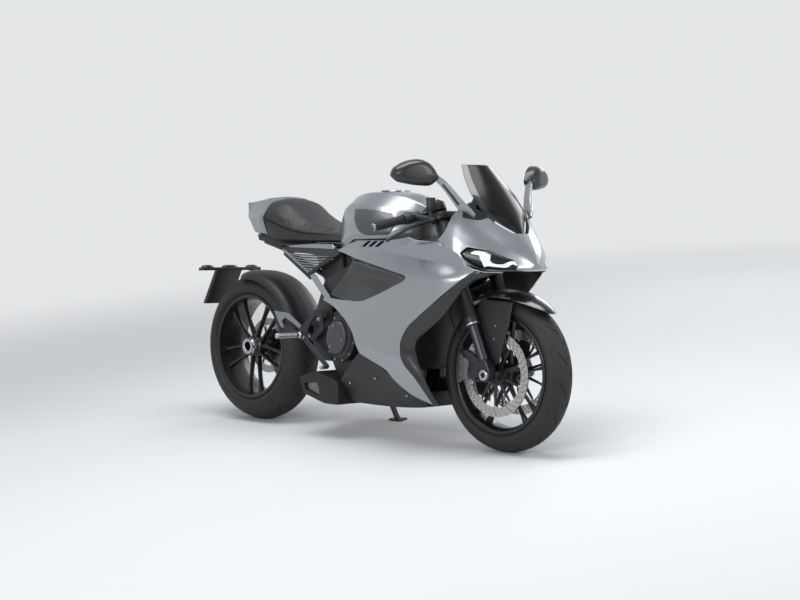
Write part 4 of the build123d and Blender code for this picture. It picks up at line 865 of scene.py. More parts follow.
void = form("nose_void", shrunk(NOSE[:-1] + ((1580, NOSE[-1][1]),), 4.0), hard=(1, 3, 5), along=24, around=4)
COCKPIT = rounded((
    (1250, 1010, 0), (1250, 805, 0), (1307, 805.5, 2), (1337, 843, 12), (1352, 905, 30), (1376, 930, 4),
    (1420, 914, 40), (1458, 873, 20), (1514, 826, 12), (1545, 900, 0), (1500, 1010, 0),
), 10)
SEAM = rounded((
    (1250, 808, 0), (1307, 803.5, 2), (1399, 753.5, 3), (1419, 712, 10), (1444, 700.5, 14), (1482, 690.6, 2),
    (1620, 690.6, 0), (1620, 600, 0), (1250, 600, 0),
), 10)
LAMP = rounded((
    (1424, 780, 3), (1401, 757, 3), (1426, 723, 12), (1450, 705, 12), (1486, 696.5, 10), (1563, 697, 3),
    (1568, 707, 3), (1552, 734, 8), (1490, 767, 10),
), 8)
windows = [block("window", LAMP, -400, -16), block("window_left", LAMP, 16, 400)]
carve(nose, void, block("cockpit", COCKPIT, -400, 400), block("seam", SEAM, -400, 400), *windows)
settle(nose, "chassis", SILVER, ("nose_fairing",), 26)

# %% Windscreen
SCREEN = (
    # z, centre x, side x, half width
    (826, 1512, 1508, 12),
    (871, 1487, 1456, 74),
    (918, 1457, 1414, 121),
    (970, 1421, 1371, 124),
    (1030, 1372, 1320, 108),
    (1092, 1316, 1272, 80),
)


def screen_grid(rows, across, low=-1.0, high=1.0, proud=0.0):
    """Points and faces of the bubble, bottom to top, between two shares of its half width."""
    zs = [r[0] for r in SCREEN]
    middle, edge, half = (curve(zs, [r[k] for r in SCREEN]) for k in (1, 2, 3))
    points = []
    for i in range(rows + 1):
        z = zs[0] + (zs[-1] - zs[0]) * i / rows
        for k in range(across + 1):
            t = low + (high - low) * k / across
            x = middle(z) - (middle(z) - edge(z)) * abs(t) ** 2.1
            points.append((x + proud, half(z) * t * (1.0 + proud / 300), z))
    return points, grid_faces(rows, across)


screen = bevelled(walled(new_piece("smoked_screen", *screen_grid(40, 36)), 3.0, 1.0), 0.9)
SMOKED = finish("smoked_polycarbonate", "#0E0F11", "#101113", 0.24, 0.0, 3.0, Specular_IOR_Level=0.2)
settle(screen, "chassis", SMOKED, ("windscreen",))
edge_band = walled(new_piece("screen_band", *screen_grid(40, 4, -1.0, -0.83, 3.6)), 1.0, 1.0)
pair(edge_band, "chassis", GLOSSY)

# %% [markdown]
# ### Headlamps
# Behind each window lies a dark bowl that follows the nose at a depth of 17 mm. In it stand a
# stepped light guide and a small projector; a clear lens closes it flush with the shell.

# %% Headlamps
nose_side = side_of(NOSE, hard=(1,))
CHROME = finish("vacuum_plated_reflector", "#B9BBBE", "#A9ABAF", 0.12, 1.0)
CLEAR = finish("clear_polycarbonate", "#0C0D0E", "#0E0F10", 0.05, 0.0, Alpha=0.10)
GUIDE = finish(
    "lit_light_guide", "#F2F6FA", "#EEF3F8", 0.25, 0.0, Emission_Color=linear("#EAF3FF"),
    Emission_Strength=0.7,
)


def sunk(field, depth):
    """A side surface moved inwards."""
    return lambda x, z: max(14.0, field(x, z) - depth)


bowl = skin("lamp_bowl", inset(LAMP, -3.0), sunk(nose_side, 17.0), 7.0, 3.0, rim=1.5)
pair(bowl, "chassis", GLOSSY, ("headlamps",))
DRL = rounded((
    (1431, 757), (1442, 767), (1459, 767), (1486, 757), (1495, 751), (1496, 731), (1504, 721), (1518, 717),
    (1532, 717), (1540, 725), (1546, 730), (1553, 729), (1560, 724), (1563, 716), (1561, 711), (1557, 715),
    (1552, 716), (1545, 705), (1537, 703), (1516, 705), (1487, 709), (1474, 703), (1472, 723), (1463, 742),
    (1460, 749), (1441, 752),
), 3.0)
guide = skin("light_guide", inset(DRL, 1.2), sunk(nose_side, 8.0), 6.0, 5.0, rim=1.2)
pair(guide, "chassis", GUIDE)
BROW = rounded([
    (1466, 772, 3), (1550, 737, 3), (1560, 726, 2), (1549, 730, 4), (1500, 752, 8), (1466, 762, 3),
], 3)
eyebrow = skin("lamp_brow", BROW, sunk(nose_side, 11.0), 7.0, 3.0, rim=1.2)
pair(eyebrow, "chassis", CHROME)


def aimed(piece, place, direction, roll=0.0):
    """Turn a piece's z axis to a direction and move it to a place, in upright millimetres."""
    turn = Vector(direction).to_track_quat("Z", "Y").to_matrix().to_4x4()
    piece.data.transform(Matrix.Translation(Vector(place) * MM) @ turn @ Matrix.Rotation(roll, 4, "Z"))
    return piece


OUT_AHEAD = (0.80, -0.60, -0.05)
projector = lathe("projector", [
    (0.5, 3.0), (8.0, 2.0), (11.5, -1.5), (12.5, 0.0), (13.5, 0.0), (13.5, -9.0),
], 32)
pair(aimed(projector, (1519, -118, 733), OUT_AHEAD), "chassis", CHROME)
lens = skin("lamp_lens", LAMP, sunk(nose_side, 0.6), 7.0, 1.6, rim=1.0)
pair(lens, "chassis", CLEAR)
UNDER_LINE = (
    (1402, -223, 757), (1411, -221, 742), (1422, -213, 726), (1436, -203, 704), (1465, -184, 692),
    (1494, -158, 688.5), (1530, -124, 688),
)
low_line = space_curve(UNDER_LINE, 40)
edge_strip = strip("lamp_edge_line", low_line, [(x, y + 0.6, z - 3.4) for x, y, z in low_line], 2.5, 0.4, 3)
pair(edge_strip, "chassis", CHROME)

# %% [markdown]
# ### Tank
# A pressed steel tank, broad at the knees and narrow at the back, with a recessed dark pad at each
# side and a flush filler ring on top.

# %% Tank
TANK = (
    # x, half-section: floor, skirt, belly, knee edge, shoulder, crown edge, centre
    (632, [(0, 790), (100, 766), (118, 800), (117, 850), (100, 912), (54, 957), (0, 964)]),
    (650, [(0, 790), (122, 757), (134, 800), (132, 852), (109, 928), (56, 970), (0, 977)]),
    (700, [(0, 790), (147, 772), (158, 812), (154, 862), (121, 944), (66, 986), (0, 993)]),
    (780, [(0, 790), (174, 804), (182, 826), (176, 872), (139, 944), (80, 994), (0, 1002)]),
    (860, [(0, 790), (184, 805), (190, 832), (181, 872), (147, 934), (88, 992), (0, 1001)]),
    (960, [(0, 790), (160, 805), (166, 836), (156, 874), (127, 924), (82, 976), (0, 989)]),
    (1020, [(0, 790), (110, 806), (116, 838), (109, 872), (94, 913), (64, 953), (0, 966)]),
    (1050, [(0, 792), (66, 808), (70, 840), (68, 870), (60, 905), (42, 934), (0, 944)]),
)
tank = bevelled(form("tank_shell", TANK, hard=(1, 4, 5), along=64, around=8), 3.0, 13, 3)
settle(tank, "chassis", SILVER, ("fuel_tank",), 30)
tank_side = side_of(TANK, hard=(0, 1))
PAD_DARK = finish("satin_graphite_lacquer", "#4A4C50", "#47494D", 0.4, 0.5, coat=0.3)
KNEE = rounded([
    (742, 928, 6), (800, 927, 30), (868, 921, 30), (956, 908, 6), (990, 872, 8), (966, 822, 16),
    (850, 818, 30), (800, 846, 20),
], 6)
knee = skin("knee_pad", KNEE, lambda x, z: tank_side(x, z) + 2.6, 8.0, 4.0, rim=3.0)
pair(knee, "chassis", PAD_DARK, ("knee_pads",), 30)
ring = lathe("filler_ring", [
    (46.5, -2.0), (47.0, 0.6), (49.0, 1.6), (57.0, 1.6), (60.0, 0.2), (60.5, -4.0),
], 64)
settle(aimed(ring, (836, 0, 1002.4), (0, 0, 1)), "chassis", ALUMINIUM)

# %% [markdown]
# ## Seat
# A foam pad under a grained cover, on a firm dark skirt. The pad starts as a smooth closed form
# that is slightly too small, and a cloth simulation with air pressure swells it, so that its
# sides round over as stuffed vinyl does. How far a point may move is capped.

# %% Seat pad
PAD = (
    # x, half-section: floor, rim, crease, side, shoulder, crown
    (180, [(0, 878), (140, 876), (153, 892), (128, 938), (88, 968), (0, 976)]),
    (214, [(0, 868), (140, 866), (153, 882), (130, 932), (90, 964), (0, 973)]),
    (262, [(0, 850), (140, 850), (152, 868), (128, 914), (90, 950), (0, 959)]),
    (330, [(0, 828), (138, 830), (149, 846), (122, 882), (86, 909), (0, 919)]),
    (400, [(0, 812), (132, 818), (142, 834), (114, 856), (82, 876), (0, 885)]),
    (460, [(0, 808), (124, 815), (133, 830), (106, 846), (76, 857), (0, 864)]),
    (530, [(0, 808), (110, 814), (118, 827), (94, 839), (66, 846), (0, 850)]),
    (612, [(0, 808), (82, 812), (88, 825), (72, 836), (50, 842), (0, 845)]),
)
SWELL_CAP, SWELL_FRAMES = 6.0 * MM, 20
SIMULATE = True


def swollen(piece, voxel, pressure, cap):
    """Inflate a closed pad with the cloth solver, capped, and apply the result."""
    modify(piece, "REMESH", mode="VOXEL", voxel_size=voxel)
    start = [v.co.copy() for v in baked(piece).vertices]
    cloth = piece.modifiers.new("swell", "CLOTH")
    cloth.settings.quality = 5
    cloth.settings.use_pressure = True
    cloth.settings.uniform_pressure_force = pressure
    cloth.settings.effector_weights.gravity = 0.0
    cloth.settings.tension_stiffness = 18.0
    cloth.settings.compression_stiffness = 18.0
    scene = bpy.context.scene
    scene.frame_start, scene.frame_end = 1, SWELL_FRAMES
    for number in range(1, SWELL_FRAMES + 1):
        scene.frame_set(number)
    ready = piece.evaluated_get(bpy.context.evaluated_depsgraph_get()).to_mesh()
    moved = [v.co.copy() for v in ready.vertices]
    piece.modifiers.clear()
    scene.frame_set(1)
    for vertex, old, new in zip(piece.data.vertices, start, moved):
        step = new - old
        vertex.co = old + step * (min(1.0, cap / step.length) if step.length > 0 else 1.0)
    furthest = max((new - old).length for new, old in zip(moved, start))
    print(piece.name, "swollen by up to", round(furthest / MM, 1), "mm, capped")


pad = form("seat_pad", PAD, hard=(1,), along=52, around=8)
if SIMULATE:
    swollen(pad, 5.0 * MM, 4.0, SWELL_CAP)
    modify(pad, "SUBSURF", levels=1, render_levels=1)
pad = settle(pad, "chassis", GRAINED, ("seat",), 60)

# %% Seat skirt
SKIRT = (
    (181, [(0, 807), (106, 807), (130, 822), (150, 884), (138, 888), (0, 888)]),
    (250, [(0, 788), (112, 788), (139, 800), (149, 862), (138, 866), (0, 866)]),
    (330, [(0, 788), (116, 788), (143, 800), (146, 838), (136, 842), (0, 842)]),
    (430, [(0, 788), (116, 788), (138, 799), (136, 822), (126, 826), (0, 826)]),
    (520, [(0, 788), (108, 788), (121, 798), (119, 819), (108, 823), (0, 823)]),
    (621, [(0, 788), (82, 788), (89, 798), (87, 815), (78, 819), (0, 819)]),
)
settle(form("seat_skirt", SKIRT, hard=(1, 2, 3, 4), along=36, around=5), "chassis", MOULDED, angle=30)

# %% [markdown]
# ### Tail cowl
# The cowl closes the machine behind the hump: a silver shell with two long facets on each side,
# cut off at a slant, with a dark underside and a slim red lamp across its end.

# %% Tail cowl and lamp
TAIL = (
    # x, half-section: floor, low edge, facet, widest, shoulder, centre
    (-60, [(0, 826), (70, 826), (88, 836), (117, 900), (84, 960), (0, 968)]),
    (8, [(0, 826), (70, 826), (88, 836), (117, 900), (84, 960), (0, 968)]),
    (90, [(0, 819), (82, 819), (108, 829), (139, 897), (90, 969), (0, 977)]),
    (176.4, [(0, 812), (96, 812), (130, 824), (159.5, 894), (94, 979), (0, 986)]),
    (205, [(0, 812), (96, 812), (130, 824), (159.5, 894), (94, 979), (0, 986)]),
)
tail = form("tail_shell", TAIL, hard=(1, 2, 3, 4), along=52, around=6)
TAIL_CUT = [(-19, 972), (34, 904), (56, 808), (176.4, 800), (176.4, 1000), (-10, 1000)]
carve(tail, block("tail_cut", rounded([(x, z, 3) for x, z in TAIL_CUT], 3), -200, 200), operation="INTERSECT")
settle(bevelled(tail, 2.2, 24, 3), "chassis", SILVER, ("tail_cowl",), 30)
under = block("tail_underside", [(52, 806), (57, 812), (66, 829), (176, 818), (176, 806)], -70, 70)
settle(under, "chassis", MOULDED, angle=32)

# The lamp's section: distances down the slanted cut and out from it.
CUT_TOP, ACROSS, DOWN = (-19, 972), 0.6147, 0.7887
LAMP_SECTION = ((41, 0.4), (75, 0.4), (75, 5.4), (41, 5.4))
lamp_at = [(CUT_TOP[0] + ACROSS * d - DOWN * o, CUT_TOP[1] - DOWN * d - ACROSS * o) for d, o in LAMP_SECTION]
lamp = bevelled(block("tail_lamp_lens", lamp_at, -64, 64), 2.0, 30, 3)
settle(lamp, "chassis", RED_LENS, ("tail_lamp",), 30)

# %% [markdown]
# ### Panels under the seat
# Behind the opening hangs a triangular grille: seven bowed blades between a dark diagonal bar and a
# toothed metal rail. A silver strip lies above it and a silver bracket below. The blades are lofted
# one by one, since each has its own length.

# %% Grille, strip and bracket
SATIN = finish("satin_grey_lacquer", "#85878B", "#7C7E82", 0.36, 0.55, coat=0.2)
BAR_CORNERS = rounded([(-0.5, -0.5), (0.5, -0.5), (0.5, 0.5), (-0.5, 0.5)], 0.22, 3)


def bar(name, start, end, wide, deep, bulge=0.0, parts=12):
    """A rounded bar between two points in upright millimetres; wide lies in the side view."""
    a, b = Vector(start), Vector(end)
    along = (b - a).normalized()
    across = along.cross(Vector((0, 1, 0))).normalized()
    verts = []
    for i in range(parts + 1):
        t = i / parts
        middle = a.lerp(b, t) + across * (bulge * 4 * t * (1 - t))
        verts += [middle + across * (u * wide) + Vector((0, v * deep, 0)) for u, v in BAR_CORNERS]
    return closed(name, verts, tube_faces(parts, len(BAR_CORNERS)))


def joined(name, pieces):
    """Several pieces, with their modifiers applied, in one mesh."""
    verts, faces = [], []
    for piece in pieces:
        bpy.context.view_layer.update()
        mesh = piece.evaluated_get(bpy.context.evaluated_depsgraph_get()).to_mesh()
        base = len(verts)
        verts += [tuple(v.co / MM) for v in mesh.vertices]
        faces += renumbered([f.vertices for f in mesh.polygons], base)
        bpy.data.objects.remove(piece)
    return new_piece(name, verts, faces)


blades = []
for n in range(7):
    z = 737.0 - 11.2 * n
    back = 305 + (748 - z) / 88 * 156 + 4
    front = 621 - (730 - z) / 70 * 160 if z < 730 else 618
    start, end, bow = (back, -138.5, z + 1.5), (front + 3, -140.0, z - 3.0), -3.0 * (front - back) / 300
    blades.append(bar("blade", start, end, 5.2, 11.0, bow))
for blade in blades:
    for v in blade.data.vertices:
        v.co.z += (v.co.y + 0.139) * 0.45
pair(joined("grille_blades", blades), "chassis", SATIN, ("louvre_panels",))
rail = [bar("rail", (296, -138.5, 756), (474, -138.5, 656), 11.0, 12.0, 0.0)]
for n in range(11):
    t = 0.07 + 0.085 * n
    x, z = 296 + 178 * t, 756 - 100 * t
    rail.append(bar("tooth", (x - 4.5, -145.0, z + 4.0), (x + 4.5, -145.0, z - 1.0), 5.0, 4.5, 0.0, 2))
pair(joined("grille_rail", rail), "chassis", SATIN)
frame_bars = [
    bar("front_bar", (634, -139.5, 741), (462, -139.5, 652), 16.0, 15.0, -2.0),
    bar("back_bar", (300, -135.0, 742), (470, -135.0, 640), 16.0, 10.0, 0.0),
]
pair(joined("grille_bars", frame_bars), "chassis", MOULDED)
UNDER_SEAT = (
    (280, [(800, 118), (775, 128), (755, 131), (560, 126)]),
    (400, [(800, 124), (775, 136), (755, 139), (560, 134)]),
    (520, [(800, 130), (775, 142), (755, 145), (560, 140)]),
    (680, [(800, 140), (775, 152), (755, 154), (560, 150)]),
)
panel_field = surface(UNDER_SEAT)
BAND = rounded([
    (293, 768, 3), (420, 768, 30), (560, 771, 20), (655, 764, 3), (668, 745, 3), (634, 728, 8),
    (600, 731, 40), (440, 742, 40), (304, 745, 3),
], 4)
pair(skin("side_band", BAND, panel_field, 9.0, 3.0), "chassis", GLOSSY)
STRIP = rounded([
    (327, 767, 2), (333, 775, 3), (487, 784, 40), (617, 782, 2), (632, 762, 2), (499, 765, 40),
], 3)
inlay = skin("side_strip", STRIP, lambda x, z: panel_field(x, z) + 2.5, 7.0, 3.0, rim=1.5)
pair(inlay, "chassis", SILVER)
BRACKET = rounded([
    (464, 664, 3), (513, 655, 3), (606, 562, 3), (588, 545, 4), (538, 583, 6), (470, 648, 4),
], 3)
BRACKET_LINE = [((531, 594), (556, 610))]
bracket = skin("side_bracket", BRACKET, lambda x, z: panel_field(x, z) + 3.0, 7.0, 4.0, BRACKET_LINE, rim=1.5)
pair(bracket, "chassis", SILVER)

# %% [markdown]
# ## Wheels
# A road tyre is a turned ring with slanted grooves. One sector of the tread is drawn flat and
# triangulated round its grooves; a loop repeats it round the wheel and bends each copy onto the
# crown, which instances, being stiff, can't do. The cast rim has a turned barrel and five pairs of
# spokes.

# %% Tyres
GROOVE_DEPTH, TREAD_STEP, WALL_ROWS = 3.2, 8.0, 12


def tyre_profile(radius, half, depth, rim_half):
    """Length along the section -> (y, r), from the crown to the bead."""
    curve_r = (half ** 2 + depth ** 2) / (2 * depth)
    turns = [math.asin(half / curve_r) * k / 24 for k in range(24)]
    bead_y, bead_r = rim_half - 5.8, 230.2
    knots = [(curve_r * math.sin(t), radius - curve_r + curve_r * math.cos(t)) for t in turns]
    shoulder = radius - depth
    knots += [(half - 0.6, shoulder + 1.5), (half - 1.6, shoulder - 4)]
    knots += [((half + bead_y) / 2 + 3.5, (shoulder + bead_r) / 2 - 1), (bead_y + 1.2, bead_r + 2.6)]
    knots += [(bead_y, bead_r), (bead_y, 222.0)]
    runs = [0.0]
    for a, b in zip(knots, knots[1:]):
        runs.append(runs[-1] + math.hypot(b[0] - a[0], b[1] - a[1]))
    ys, rs = curve(runs, [k[0] for k in knots]), curve(runs, [k[1] for k in knots])
    return (lambda s: (math.copysign(ys(abs(s)), s), rs(abs(s)))), runs[24], runs[-1]


def tread_sector(width, edge, grooves, step):
    """A flat sector (along the run, across the tread) with sunk grooves: points, sink, faces."""
    points, sink, edges = [], [], []

    def ring(loop, deep):
        start = len(points)
        points.extend(loop)
        sink.extend([deep] * len(loop))
        edges.extend((start + i, start + (i + 1) % len(loop)) for i in range(len(loop)))

    ring(walked([(0, -edge), (width, -edge), (width, edge), (0, edge)], step), 0.0)
    wells = []
    for groove in grooves:
        loop = walked(rounded(groove, 2.2, 2), step)
        ring(loop, 0.0)
        wells.append(inset(loop, 0.9))
        ring(wells[-1], 1.0)
    rows, columns = round(2 * edge / step), round(width / step)
    for i in range(1, rows):
        for j in range(1, columns):
            p = (width * j / columns, -edge + 2 * edge * i / rows)
            if min((p[0] - q[0]) ** 2 + (p[1] - q[1]) ** 2 for q in points) > (0.45 * step) ** 2:
                points.append(p)
                sink.append(1.0 if any(inside(p, w) for w in wells) else 0.0)
    made = delaunay_2d_cdt([Vector(p) for p in points], edges, [], 0, 1e-4)
    sunk_by = [max((sink[k] for k in origin), default=0.0) for origin in made[3]]
    return [tuple(v) for v in made[0]], sunk_by, [tuple(f) for f in made[2]]


def tyre(name, body, axle, radius, half, depth, rim_half, sectors, grooves, node):
    """The tyre: sectors with grooves on the tread, plain walls down to the beads."""
    at, edge, end = tyre_profile(radius, half, depth, rim_half)
    width = 2 * math.pi * radius / sectors
    points, sink, faces = tread_sector(width, edge, grooves, TREAD_STEP)
    verts, all_faces = [], []
    for n in range(sectors):
        base = len(verts)
        for (run, s), deep in zip(points, sink):
            y, r = at(s)
            verts.append(about(axle, r - deep * GROOVE_DEPTH, (run + n * width) / radius, y))
        all_faces += renumbered(faces, base)
    around = sectors * max(1, math.ceil(width / TREAD_STEP))
    turns = [2 * math.pi * k / around for k in range(around)]
    for sign in (-1, 1):
        base = len(verts)
        for k in range(WALL_ROWS + 1):
            y, r = at(sign * (edge + (end - edge) * k / WALL_ROWS))
            verts += [about(axle, r, turn, y) for turn in turns]
        all_faces += renumbered(tube_faces(WALL_ROWS, around, OPEN), base)
    base = len(verts)
    for y, r in (at(-end), at(end)):
        verts += [about(axle, r, turn, y) for turn in turns]
    all_faces += renumbered(tube_faces(1, around, OPEN), base)
    piece = closed(name, verts, all_faces, 2.5 * MERGE)
    return settle(piece, body, TYRE_RUBBER, (node,), 38)


FRONT = (1449.0, 300.0)
REAR = (0.0, 325.0)
FRONT_GROOVES = (
    [(8, 6), (12, 2), (62, 34), (60, 40)],
    [(30, 56), (36, 52), (74, 62), (72, 67)],
    [(50, -6), (54, -2), (104, -34), (102, -40)],
    [(72, -56), (78, -52), (112, -62), (110, -67)],
)
REAR_GROOVES = (
    [(6, 10), (12, 5), (74, 58), (70, 66)],
    [(40, 84), (46, 79), (88, 96), (86, 102)],
    [(64, -10), (70, -5), (132, -58), (128, -66)],
    [(98, -84), (104, -79), (138, -96), (136, -102)],
)
tyre("front_road_tyre", "front_wheel", FRONT, 300.0, 60.0, 50.0, 52.0, 16, FRONT_GROOVES, "front_tyre")
tyre("rear_road_tyre", "rear_wheel", REAR, 325.0, 95.0, 72.0, 83.0, 14, REAR_GROOVES, "rear_tyre")

# %% [markdown]
# ### Cast rims
# The barrel and the hub are turned rings. Spokes come in pairs that leave the hub close together
# and reach the barrel well apart. One pair is lofted from rounded sections, and a Geometry Nodes
# tree sets it round the axle.

# %% The tree of copies round an axle
round_tree, round_inputs, given = start_tree(
    "copies_round_the_axle", Points="Geometry", Unit="Object", Count="Int", Lead="Float", Finish="Material"
)
line = add(round_tree, "GeometryNodeMeshLine", {"Count": given["Count"], "Offset": (0.0, 0.0, 0.0)})
unit = add(round_tree, "GeometryNodeObjectInfo", {"Object": given["Unit"]}, transform_space="ORIGINAL")
step = add(round_tree, "ShaderNodeMath", {0: 2 * math.pi, 1: given["Count"]}, operation="DIVIDE")
index = add(round_tree, "GeometryNodeInputIndex")
factors = {0: index.outputs[0], 1: step.outputs[0], 2: given["Lead"]}
share = add(round_tree, "ShaderNodeMath", factors, operation="MULTIPLY_ADD")
turn = {"Axis": (0.0, -1.0, 0.0), "Angle": share.outputs[0]}
spin = add(round_tree, "FunctionNodeAxisAngleToRotation", turn)
placed = add(round_tree, "GeometryNodeInstanceOnPoints", {
    "Points": line.outputs[0], "Instance": unit.outputs["Geometry"], "Rotation": spin.outputs[0],
})
end_tree(round_tree, placed, given)
print("inputs of the tree", list(round_inputs))


def round_axle(name, unit, count, lead, axle, body, material, replaces=(), angle=35):
    """A unit drawn about the axle at the origin, copied round it, then moved to the axle."""
    holder = new_piece(name, [(0, 0, 0)], [])
    run_tree(
        holder, round_tree, round_inputs, Unit=unit, Count=count, Lead=math.radians(lead), Finish=material,
    )
    baked(holder).transform(Matrix.Translation((axle[0] * MM, 0, axle[1] * MM)))
    tidy(holder)
    return settle(holder, body, material, replaces, angle)


def turned_ring(name, loop, axle, segments=120):
    """A ring about the wheel's axle from a closed loop of (y, r)."""
    turns = [2 * math.pi * k / segments for k in range(segments)]
    verts = [about(axle, r, turn, y) for y, r in loop for turn in turns]
    faces = tube_faces(len(loop), segments, OPEN)
    return closed(name, verts, [tuple(i % len(verts) for i in face) for face in faces])


def barrel_loop(half):
    """Section of the rim: flanges with rolled lips, bead seats and a dropped inner face."""
    well = half * 0.45
    right = [
        (half - 5.5, 221.0), (half - 5.0, 227.6), (half - 3.6, 229.0), (half - 1.2, 228.6), (half, 226.6),
    ]
    right += [(half - 0.4, 219.0), (half - 2.5, 215.0), (well + 6, 206.4), (well - 4, 205.0)]
    return right + [(-y, r) for y, r in reversed(right)]


def spoke(root, tip, spoke_y, half, width):
    """Lofted spoke: (radius, tangent offset) from root to tip, with rounded sections."""
    verts = []
    corner = rounded([(-1, -1), (1, -1), (1, 1), (-1, 1)], 0.55, 3)
    parts = 14
    for i in range(parts + 1):
        t = i / parts
        r = root[0] + (tip[0] - root[0]) * t
        side_at = root[1] + (tip[1] - root[1]) * t
        waist = 0.42 * math.sin(math.pi * min(1.0, t * 1.05))
        wide = width * (0.72 - waist + 0.22 * max(0.0, t - 0.8) / 0.2)
        deep = half * (1.0 - 0.18 * math.sin(math.pi * t))
        verts += [(r, spoke_y + v * deep, side_at + u * wide * 0.9) for u, v in corner]
    return verts, tube_faces(parts, len(corner))


def spoke_pair(name, hub_r, spread, spoke_y, half):
    """Two spokes about the local x axis, as the unit of the round tree."""
    verts, faces = [], []
    for sign in (-1, 1):
        more, rings = spoke((hub_r * 0.8, sign * hub_r * 0.4), (209.0, sign * spread), spoke_y, half, 15.0)
        faces += renumbered(rings, len(verts))
        verts += more
    return hidden_unit(closed(name, verts, faces))


RIMS = (
    # name, body, node, axle, rim half, hub radius, hub from, hub to, bore, spoke y, spoke half, spread, lead
    ("front", "front_wheel", "front_rim", FRONT, 52.0, 38.0, -63.5, 63.5, 14.5, 0.0, 11.0, 34.0, 20.0),
    ("rear", "rear_wheel", "rear_rim", REAR, 83.0, 46.0, -70.0, 27.5, 30.3, -42.0, 13.0, 40.0, 54.0),
)
VALVE_TURN = 0.9
for name, body, node, axle, half, hub_r, y_low, y_high, bore, spoke_y, spoke_half, spread, lead in RIMS:
    barrel = turned_ring(name + "_barrel", barrel_loop(half), axle, 128)
    settle(barrel, body, WHEEL_PAINT, (node,), 40)
    neck, low, high = hub_r - 9, spoke_y - spoke_half, spoke_y + spoke_half
    hub_loop = [(y_low, bore), (y_low, neck), (y_low + 2, neck + 2), (low - 6, neck + 2), (low, hub_r)]
    hub_loop += [(high, hub_r), (high + 6, neck + 2), (y_high - 2, neck + 2), (y_high, neck), (y_high, bore)]
    settle(turned_ring(name + "_hub", hub_loop, axle, 64), body, WHEEL_PAINT)
    spokes = spoke_pair(name + "_spoke_pair", hub_r, spread, spoke_y, spoke_half)
    round_axle(name + "_spokes", spokes, 5, lead, axle, body, WHEEL_PAINT)
    valve = lathe(name + "_valve", [(2.4, 0.0), (2.4, 18.0), (3.8, 18.5), (3.8, 27.0), (2.6, 28.0)], 12)
    inwards = (-math.cos(VALVE_TURN), 0, -math.sin(VALVE_TURN))
    aimed(valve, about(axle, 205.5, VALVE_TURN, half * 0.2), inwards)
    settle(valve, body, BOLT_STEEL)

# %% [markdown]
# ### Drilled rotors
# A floating rotor: a steel ring with rows of drilled holes on an anodised carrier, joined by
# bobbins. One small sector of the ring is triangulated round its holes, and the round tree repeats
# it, so that all the holes are real.


# %% Rotors
HOLE_SIDES = 10


def drilled_sector(name, r_in, r_out, y, wall, parts, holes, hole_r):
    """One sector of a rotor: both faces with holes, the holes' walls and both rims."""
    mid = (r_in + r_out) / 2
    width = 2 * math.pi * mid / parts
    border = walked([(0, r_in), (width, r_in), (width, r_out), (0, r_out)], width / 2)
    points, edges = list(border), [(i, (i + 1) % len(border)) for i in range(len(border))]
    loops = []
    for share, r in holes:
        loop = circle(hole_r, HOLE_SIDES, share * width, r)
        start = len(points)
        points += loop
        edges += [(start + k, start + (k + 1) % HOLE_SIDES) for k in range(HOLE_SIDES)]
        loops.append(loop)
    made = delaunay_2d_cdt([Vector(p) for p in points], edges, [], 0, 1e-4)
    flat = [tuple(v) for v in made[0]]
    middles = [[sum(flat[i][c] for i in f) / len(f) for c in (0, 1)] for f in made[2]]
    tris = [tuple(f) for f, at in zip(made[2], middles) if not any(inside(at, h) for h in loops)]
    verts = [about((0, 0), r, u / mid, side_y) for side_y in (y - wall / 2, y + wall / 2) for u, r in flat]
    n = len(flat)
    faces = [tuple(reversed(f)) for f in tris] + renumbered(tris, n)
    where = {(round(p[0], 3), round(p[1], 3)): i for i, p in enumerate(flat)}
    rims = [[p for p in border if abs(p[1] - r) < 0.01] for r in (r_in, r_out)]
    for loop in loops + rims:
        ids = [where[(round(p[0], 3), round(p[1], 3))] for p in loop]
        if loop in loops:
            ids.append(ids[0])
        else:
            ids.sort(key=lambda i: flat[i][0])
        faces += [(a, b, b + n, a + n) for a, b in zip(ids, ids[1:])]
    return hidden_unit(closed(name, verts, faces))


def carrier(name, y, hub_r, reach_r, arms, wall):
    """One arm of the carrier with its share of the hub ring, about the local x axis."""
    half = math.pi / arms
    ring = arc((0, 0), hub_r, -half, half, 2)
    right = [(r * math.cos(a), r * math.sin(a)) for r, a in ((hub_r + 12, half), (hub_r + 15, half * 0.45))]
    right += [(reach_r - 14, 4.2), (reach_r - 2, 7.0)]
    outline = [(x, -z) for x, z in right] + right[::-1]
    loop = [ring[0]] + outline + [ring[2], ring[1]]
    return hidden_unit(block(name, loop, y - wall / 2, y + wall / 2))


def bobbin(name, y, r, wall, radius):
    """A bobbin: a short turned drum through the ring's inner edge, about the local x axis."""
    half, brim = wall / 2, radius * 0.8
    section = [(1.8, half + 0.5), (2.2, half + 1.6), (brim, half + 1.6), (radius, half + 0.6)]
    unit = lathe(name, section + [(radius, -half - 0.6), (brim, -half - 1.6)], 16)
    unit.data.transform(Matrix.Translation((r * MM, y * MM, 0)) @ Matrix.Rotation(math.pi / 2, 4, "X"))
    return hidden_unit(unit)


